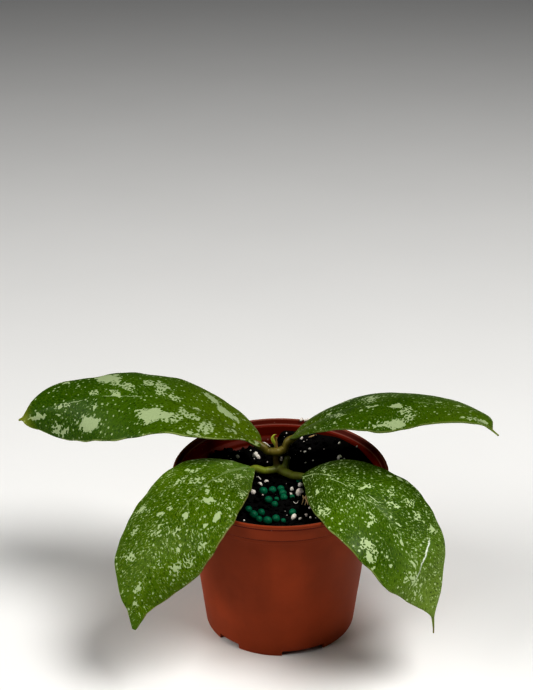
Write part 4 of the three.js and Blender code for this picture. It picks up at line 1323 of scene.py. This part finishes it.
def underside_material(name, settings, seed):
    """The lower face: paler, duller and finely netted."""
    s = Shader(name + "_underside")
    along, across = s.sheet("Plane")
    plane = s.together(along, across, seed + 50.0)
    net = s.cells(plane, 2.2)
    cloud = s.noise(plane, 14.0, 3.0, 0.5)
    rib = abs(across).rise(1.4, 0.4)
    tone = s.mix(cloud.rise(0.35, 0.7), settings.underside, shade(settings.underside, 1.3))
    tone = s.mix(rib * 0.7, tone, UNDER_RIB)
    return s.surface(tone, 0.55 + 0.1 * cloud, s.bump(net + rib * 0.4, 0.05), Specular_IOR_Level=0.4)


def build_leaf(name, leaf, settings, stalk, seed):
    """One leaf: its blade with the petiole that runs into the rib."""
    points, faces, upper_count, sheets = blade(leaf, settings.rows, settings.columns)
    radii = [PETIOLE_RADIUS * share for share in PETIOLE_RADII] + [*RIB_RADII]
    stem_points, stem_faces = tube(petiole_path(leaf), radii, 44, start=len(points))
    materials = [
        leaf_material(name, leaf, settings, seed),
        underside_material(name, settings, seed),
        stalk,
    ]
    all_points = np.vstack([points, stem_points])
    mesh = finished(name + "_blade", all_points, faces + stem_faces, materials, name).data
    sides = [0] * upper_count + [1] * (len(faces) - upper_count) + [2] * len(stem_faces)
    mesh.polygons.foreach_set("material_index", sides)
    corner = np.empty(len(mesh.loops), np.int32)
    mesh.loops.foreach_get("vertex_index", corner)
    for sheet, values in sheets.items():
        values = np.vstack([values, np.zeros((len(stem_points), 2))])
        layer = mesh.uv_layers.new(name=sheet)
        layer.uv.foreach_set("vector", values[corner].astype(np.float32).ravel())
    mesh.update()


# ------------------------------------------------------------------ stem

STUB_TOP = (3.7, 8.5, 86.6)
BURIED_END_Z = 36.3
BURIED_MIDDLE_Z = 60
# A yoke passes through its node and through a near and a far one of each petiole's steps.
YOKE = SimpleNamespace(steps=20, far=13, near=5, radii=(1.8, 2.1, 2.25, 2.1, 1.8))
RELAX_ROUNDS = 14
# The young tip: the curled leaf's path with its radii, and the thin one's.
CURL = (
    (-2.2, 8, 90.2), (-2.3, 8, 92.0), (-2.8, 8, 93.6), (-3.6, 8, 95.1),
    (-3.9, 8, 96.7), (-3.4, 7.9, 98.1), (-2.6, 7.8, 98.8), (-1.8, 7.7, 98.7),
)
CURL_RADII = (0.6, 0.6, 0.7, 0.9, 0.95, 0.8, 0.5, 0.2)
THIN_LEAF = ((-2.1, 8.2, 90.2), (-2.1, 8.4, 93.4), (-2.1, 8.5, 97.2))
THIN_RADII = (0.95, 0.65, 0.3)

# Where the stem's colour changes, each as the two ends of a soft step in x, y or z.
STEM_FINISH = SimpleNamespace(
    left=(-3.0, -6.5), under_upper_pair=(87.5, 85.5), upper_pair=(86.5, 88.5),
    stub_x=(0.9, 1.9), stub_y=(6.0, 7.0), stub_foot=(80.0, 81.5), stub_top=(88.6, 88.0),
    shoot_foot=(81.5, 83.5), shoot_top=(89.0, 87.0), shoot_right=(0.2, -0.8), shoot_left=(-6.5, -5.0),
    tip_ends_x=(-3.0, -2.3), tip_foot=(93.5, 91.5),
)
STALK_GRAIN = (0.20, 0.17, 0.05)


def stalk_material(settings):
    """Petioles and stem: olive green, browner in patches, with fine grain, and the cut stub dark as
    painted shade.
    """
    s = Shader("green_stem")
    zones = STEM_FINISH
    place = s.place()
    x, y, z = s.parts(place)
    cloud = s.noise(place, 3.0, 3.0, 0.55)
    grain = s.noise(place, 0.5, 4.0, 0.6)
    lit = x.rise(*zones.left) * z.rise(*zones.under_upper_pair)
    tone = s.mix(lit, settings.green, settings.lit_green)
    tone = s.mix(z.rise(*zones.upper_pair), tone, settings.olive)
    # Painted shade: the cut stub takes its dark colour.
    stub = x.rise(*zones.stub_x) * y.rise(*zones.stub_y)
    stub = stub * z.rise(*zones.stub_foot) * z.rise(*zones.stub_top)
    tone = s.mix(stub, tone, settings.stub)
    shoot = z.rise(*zones.shoot_foot) * z.rise(*zones.shoot_top)
    shoot = shoot * x.rise(*zones.shoot_right) * x.rise(*zones.shoot_left)
    tone = s.mix(shoot * 0.9, tone, settings.brown)
    tone = s.mix(cloud.rise(0.62, 0.35) * 0.35, tone, settings.brown)
    tone = s.mix(grain.rise(0.55, 0.75) * 0.25, tone, STALK_GRAIN)
    return s.surface(tone, 0.42 + 0.15 * grain, s.bump(grain + cloud, 0.06), Specular_IOR_Level=0.5)


def yoke(level):
    """The bridge that a pair of petioles makes through its node."""
    pair = [petiole_path(LEAVES[f"leaf_{level}_{side}"])[:3] for side in ("left", "right")]
    left, right = (smooth_path(path, YOKE.steps) for path in pair)
    bridge = np.vstack([left[[YOKE.far, YOKE.near, 0]], right[[YOKE.near, YOKE.far]]])
    return tube(bridge, YOKE.radii, 40)


def build_stem(settings, stalk):
    """The cutting with its cut stub, nodes, side shoot and yokes, as one blended skin."""
    x, y, z = LOWER_NODE
    ux, uy, uz = UPPER_NODE
    cutting = [(x, y, BURIED_END_Z), (x, y, BURIED_MIDDLE_Z), (x, y, z - 0.5)]
    stub = [(x + 2.6, y, z - 1.5), (x + 3.9, y + 0.3, z + 3), STUB_TOP]
    shoot = [LOWER_NODE, (x - 1.4, y, z + 4.5), UPPER_NODE]
    upper_node = [(ux - 0.2, uy, uz - 1.8), (ux, uy, uz + 0.6)]
    lower_node = [(x - 2.0, y - 0.2, z - 0.2), (x + 3.4, y - 0.4, z - 0.6)]
    parts = [
        tube(cutting, [2.0, 2.0, 2.1], 40),
        tube(stub, [2.3, 1.8, 1.55], 18),
        tube(shoot, [1.9, 1.4, 1.7], 20),
        tube(upper_node, [2.0, 2.2], 12),
        tube(lower_node, [2.2, 2.4], 12),
        yoke("upper"),
        yoke("lower"),
    ]
    points, faces = merged(parts)
    stem = finished("stem_skin", points, faces, [stalk], "stem")
    blend = stem.modifiers.new("blend", "REMESH")
    blend.mode = "VOXEL"
    blend.voxel_size = settings.voxel
    relax = stem.modifiers.new("relax", "SMOOTH")
    relax.iterations = RELAX_ROUNDS
    bake_modifiers(stem)


def tip_material(settings):
    """Young growth: bright yellow-green, with pink-brown ends."""
    s = Shader("young_tip")
    place = s.place()
    x, _, z = s.parts(place)
    cloud = s.noise(place, 1.5, 3.0, 0.5)
    flush = (x.rise(*STEM_FINISH.tip_ends_x) * 0.9).most(z.rise(*STEM_FINISH.tip_foot) * 0.7)
    tone = s.mix(flush * (0.6 + 0.5 * cloud), settings.tip, settings.flush)
    return s.surface(tone, 0.38 + 0.1 * cloud, s.bump(cloud, 0.04), Specular_IOR_Level=0.5)


def build_tip(settings):
    """The young pair of leaves, still folded: a curled one and a thin one behind it."""
    curl = tube(CURL, CURL_RADII, 36, 16, flat=0.7)
    thin = tube(THIN_LEAF, THIN_RADII, 24, 14, flat=0.8)
    points, faces = merged([curl, thin])
    finished("young_tip", points, faces, [tip_material(settings)])


# ------------------------------------------------------------------ studio

FLOOR_REACH = 4.0
PLANT = (0.0, 0.0, 0.07)
# Each light as its place, its size across and its tint. All of them face the plant.
WARM, COOL = (1.0, 0.99, 0.97), (0.97, 0.98, 1.0)
LIGHTS = {
    "high": ((0.61, -0.352, 1.394), 0.8, WARM),
    "left": ((-1.155, -0.42, 0.93), 1.0, WARM),
    "side": ((1.25, 0.05, 0.48), 0.3, COOL),
}
SKY_TINT = (0.93, 0.95, 1.0)
# Its place, tilt in degrees, sensor and lens in millimetres, and how far it sees.
CAMERA = SimpleNamespace(place=(-0.0069, -0.5967, 0.4298), tilt=64.96, sensor=36.0, lens=73.04, far=20.0)


def area_light(name, place, size, tint, power):
    data = bpy.data.lights.new(name, "AREA")
    data.shape = "DISK"
    data.size = size
    data.energy = power
    data.color = tint
    item = added(name, data)
    item.location = place
    item.rotation_euler = (Vector(PLANT) - item.location).to_track_quat("-Z", "Y").to_euler()


def floor_material(settings):
    s = Shader("studio_floor")
    haze = s.noise(s.place(), 120.0, 2.0, 0.5)
    return s.surface(s.mix(haze, settings.floor_colour, shade(settings.floor_colour, 0.97)), 0.55)


def build_floor(settings):
    mesh = bpy.data.meshes.new("studio_floor")
    corners = [(FLOOR_REACH * x, FLOOR_REACH * y, 0) for x, y in ((-1, -1), (1, -1), (1, 1), (-1, 1))]
    mesh.from_pydata(corners, [], [(0, 1, 2, 3)])
    mesh.materials.append(floor_material(settings))
    floor = added("studio_floor", mesh)


def set_sky(settings):
    world = bpy.data.worlds.new("studio_sky")
    world.use_nodes = True
    sky = world.node_tree.nodes["Background"]
    sky.inputs["Color"].default_value = rgba(SKY_TINT)
    sky.inputs["Strength"].default_value = settings.sky
    bpy.context.scene.world = world


def set_tone(settings):
    view = bpy.context.scene.view_settings
    view.view_transform = "Standard"
    view.gamma = settings.gamma
    view.use_curve_mapping = True
    view.curve_mapping.black_level = [settings.black_level] * 3
    view.curve_mapping.update()


def build_studio(settings):
    """A plain pale floor, soft light and the camera."""
    build_floor(settings)
    for name, (place, size, tint) in LIGHTS.items():
        area_light(name, place, size, tint, getattr(settings, name + "_power"))
    set_sky(settings)
    set_tone(settings)
    data = bpy.data.cameras.new("camera")
    data.sensor_width = CAMERA.sensor
    data.lens = CAMERA.lens
    data.clip_end = CAMERA.far
    camera = added("camera", data)
    camera.location = CAMERA.place
    camera.rotation_euler = (math.radians(CAMERA.tilt), 0.0, 0.0)
    bpy.context.scene.camera = camera


# ------------------------------------------------------------------ operators and panel


class HOYA_OT_pot(bpy.types.Operator):
    """Build the nursery pot"""

    bl_idname = "hoya.pot"
    bl_label = "Pot"

    def execute(self, context):
        build_pot(context.scene.hoya_pot)
        return {"FINISHED"}


class HOYA_OT_soil(bpy.types.Operator):
    """Build the potting mix and its loose crumbs"""

    bl_idname = "hoya.soil"
    bl_label = "Potting mix"

    def execute(self, context):
        build_soil(context.scene.hoya_soil)
        return {"FINISHED"}


class HOYA_OT_perlite(bpy.types.Operator):
    """Build the white perlite"""

    bl_idname = "hoya.perlite"
    bl_label = "Perlite"

    def execute(self, context):
        build_perlite(context.scene.hoya_soil)
        return {"FINISHED"}


class HOYA_OT_beads(bpy.types.Operator):
    """Build the green feed beads"""

    bl_idname = "hoya.beads"
    bl_label = "Feed beads"

    def execute(self, context):
        build_beads(context.scene.hoya_soil)
        return {"FINISHED"}


class HOYA_OT_litter(bpy.types.Operator):
    """Build the bark flakes and fibres"""

    bl_idname = "hoya.litter"
    bl_label = "Bark and fibre"

    def execute(self, context):
        build_litter()
        return {"FINISHED"}


class HOYA_OT_plant(bpy.types.Operator):
    """Build the stem, the young tip and the four leaves"""

    bl_idname = "hoya.plant"
    bl_label = "Stem and leaves"

    def execute(self, context):
        stalk = stalk_material(context.scene.hoya_stem)
        build_stem(context.scene.hoya_stem, stalk)
        build_tip(context.scene.hoya_stem)
        for k, (name, leaf) in enumerate(LEAVES.items(), 1):
            build_leaf(name, leaf, context.scene.hoya_leaf, stalk, NOISE_STEP * k)
        return {"FINISHED"}


class HOYA_OT_studio(bpy.types.Operator):
    """Set the floor, the light and the camera"""

    bl_idname = "hoya.studio"
    bl_label = "Studio"

    def execute(self, context):
        build_studio(context.scene.hoya_studio)
        return {"FINISHED"}


SETTINGS = {
    "hoya_pot": PotSettings,
    "hoya_soil": SoilSettings,
    "hoya_stem": StemSettings,
    "hoya_leaf": LeafSettings,
    "hoya_studio": StudioSettings,
}
OPERATORS = (
    HOYA_OT_studio,
    HOYA_OT_pot,
    HOYA_OT_soil,
    HOYA_OT_perlite,
    HOYA_OT_beads,
    HOYA_OT_litter,
    HOYA_OT_plant,
)


class HOYA_PT_panel(bpy.types.Panel):
    """Lists the builders and their settings in the sidebar"""

    bl_idname = "HOYA_PT_panel"
    bl_label = "Potted hoya"
    bl_space_type = "VIEW_3D"
    bl_region_type = "UI"
    bl_category = "Hoya"

    def draw(self, context):
        for operator in OPERATORS:
            self.layout.operator(operator.bl_idname)
        for name, group in SETTINGS.items():
            box = self.layout.box()
            for setting in group.__annotations__:
                box.prop(getattr(context.scene, name), setting)


def register():
    for name, group in SETTINGS.items():
        bpy.utils.register_class(group)
        setattr(bpy.types.Scene, name, bpy.props.PointerProperty(type=group))
    for cls in (*OPERATORS, HOYA_PT_panel):
        bpy.utils.register_class(cls)


def unregister():
    for cls in (HOYA_PT_panel, *reversed(OPERATORS)):
        bpy.utils.unregister_class(cls)
    for name, group in reversed(SETTINGS.items()):
        delattr(bpy.types.Scene, name)
        bpy.utils.unregister_class(group)


def main():
    register()
    for operator in OPERATORS:
        _, step = operator.bl_idname.split(".")
        getattr(bpy.ops.hoya, step)()


if __name__ == "__main__":
    main()
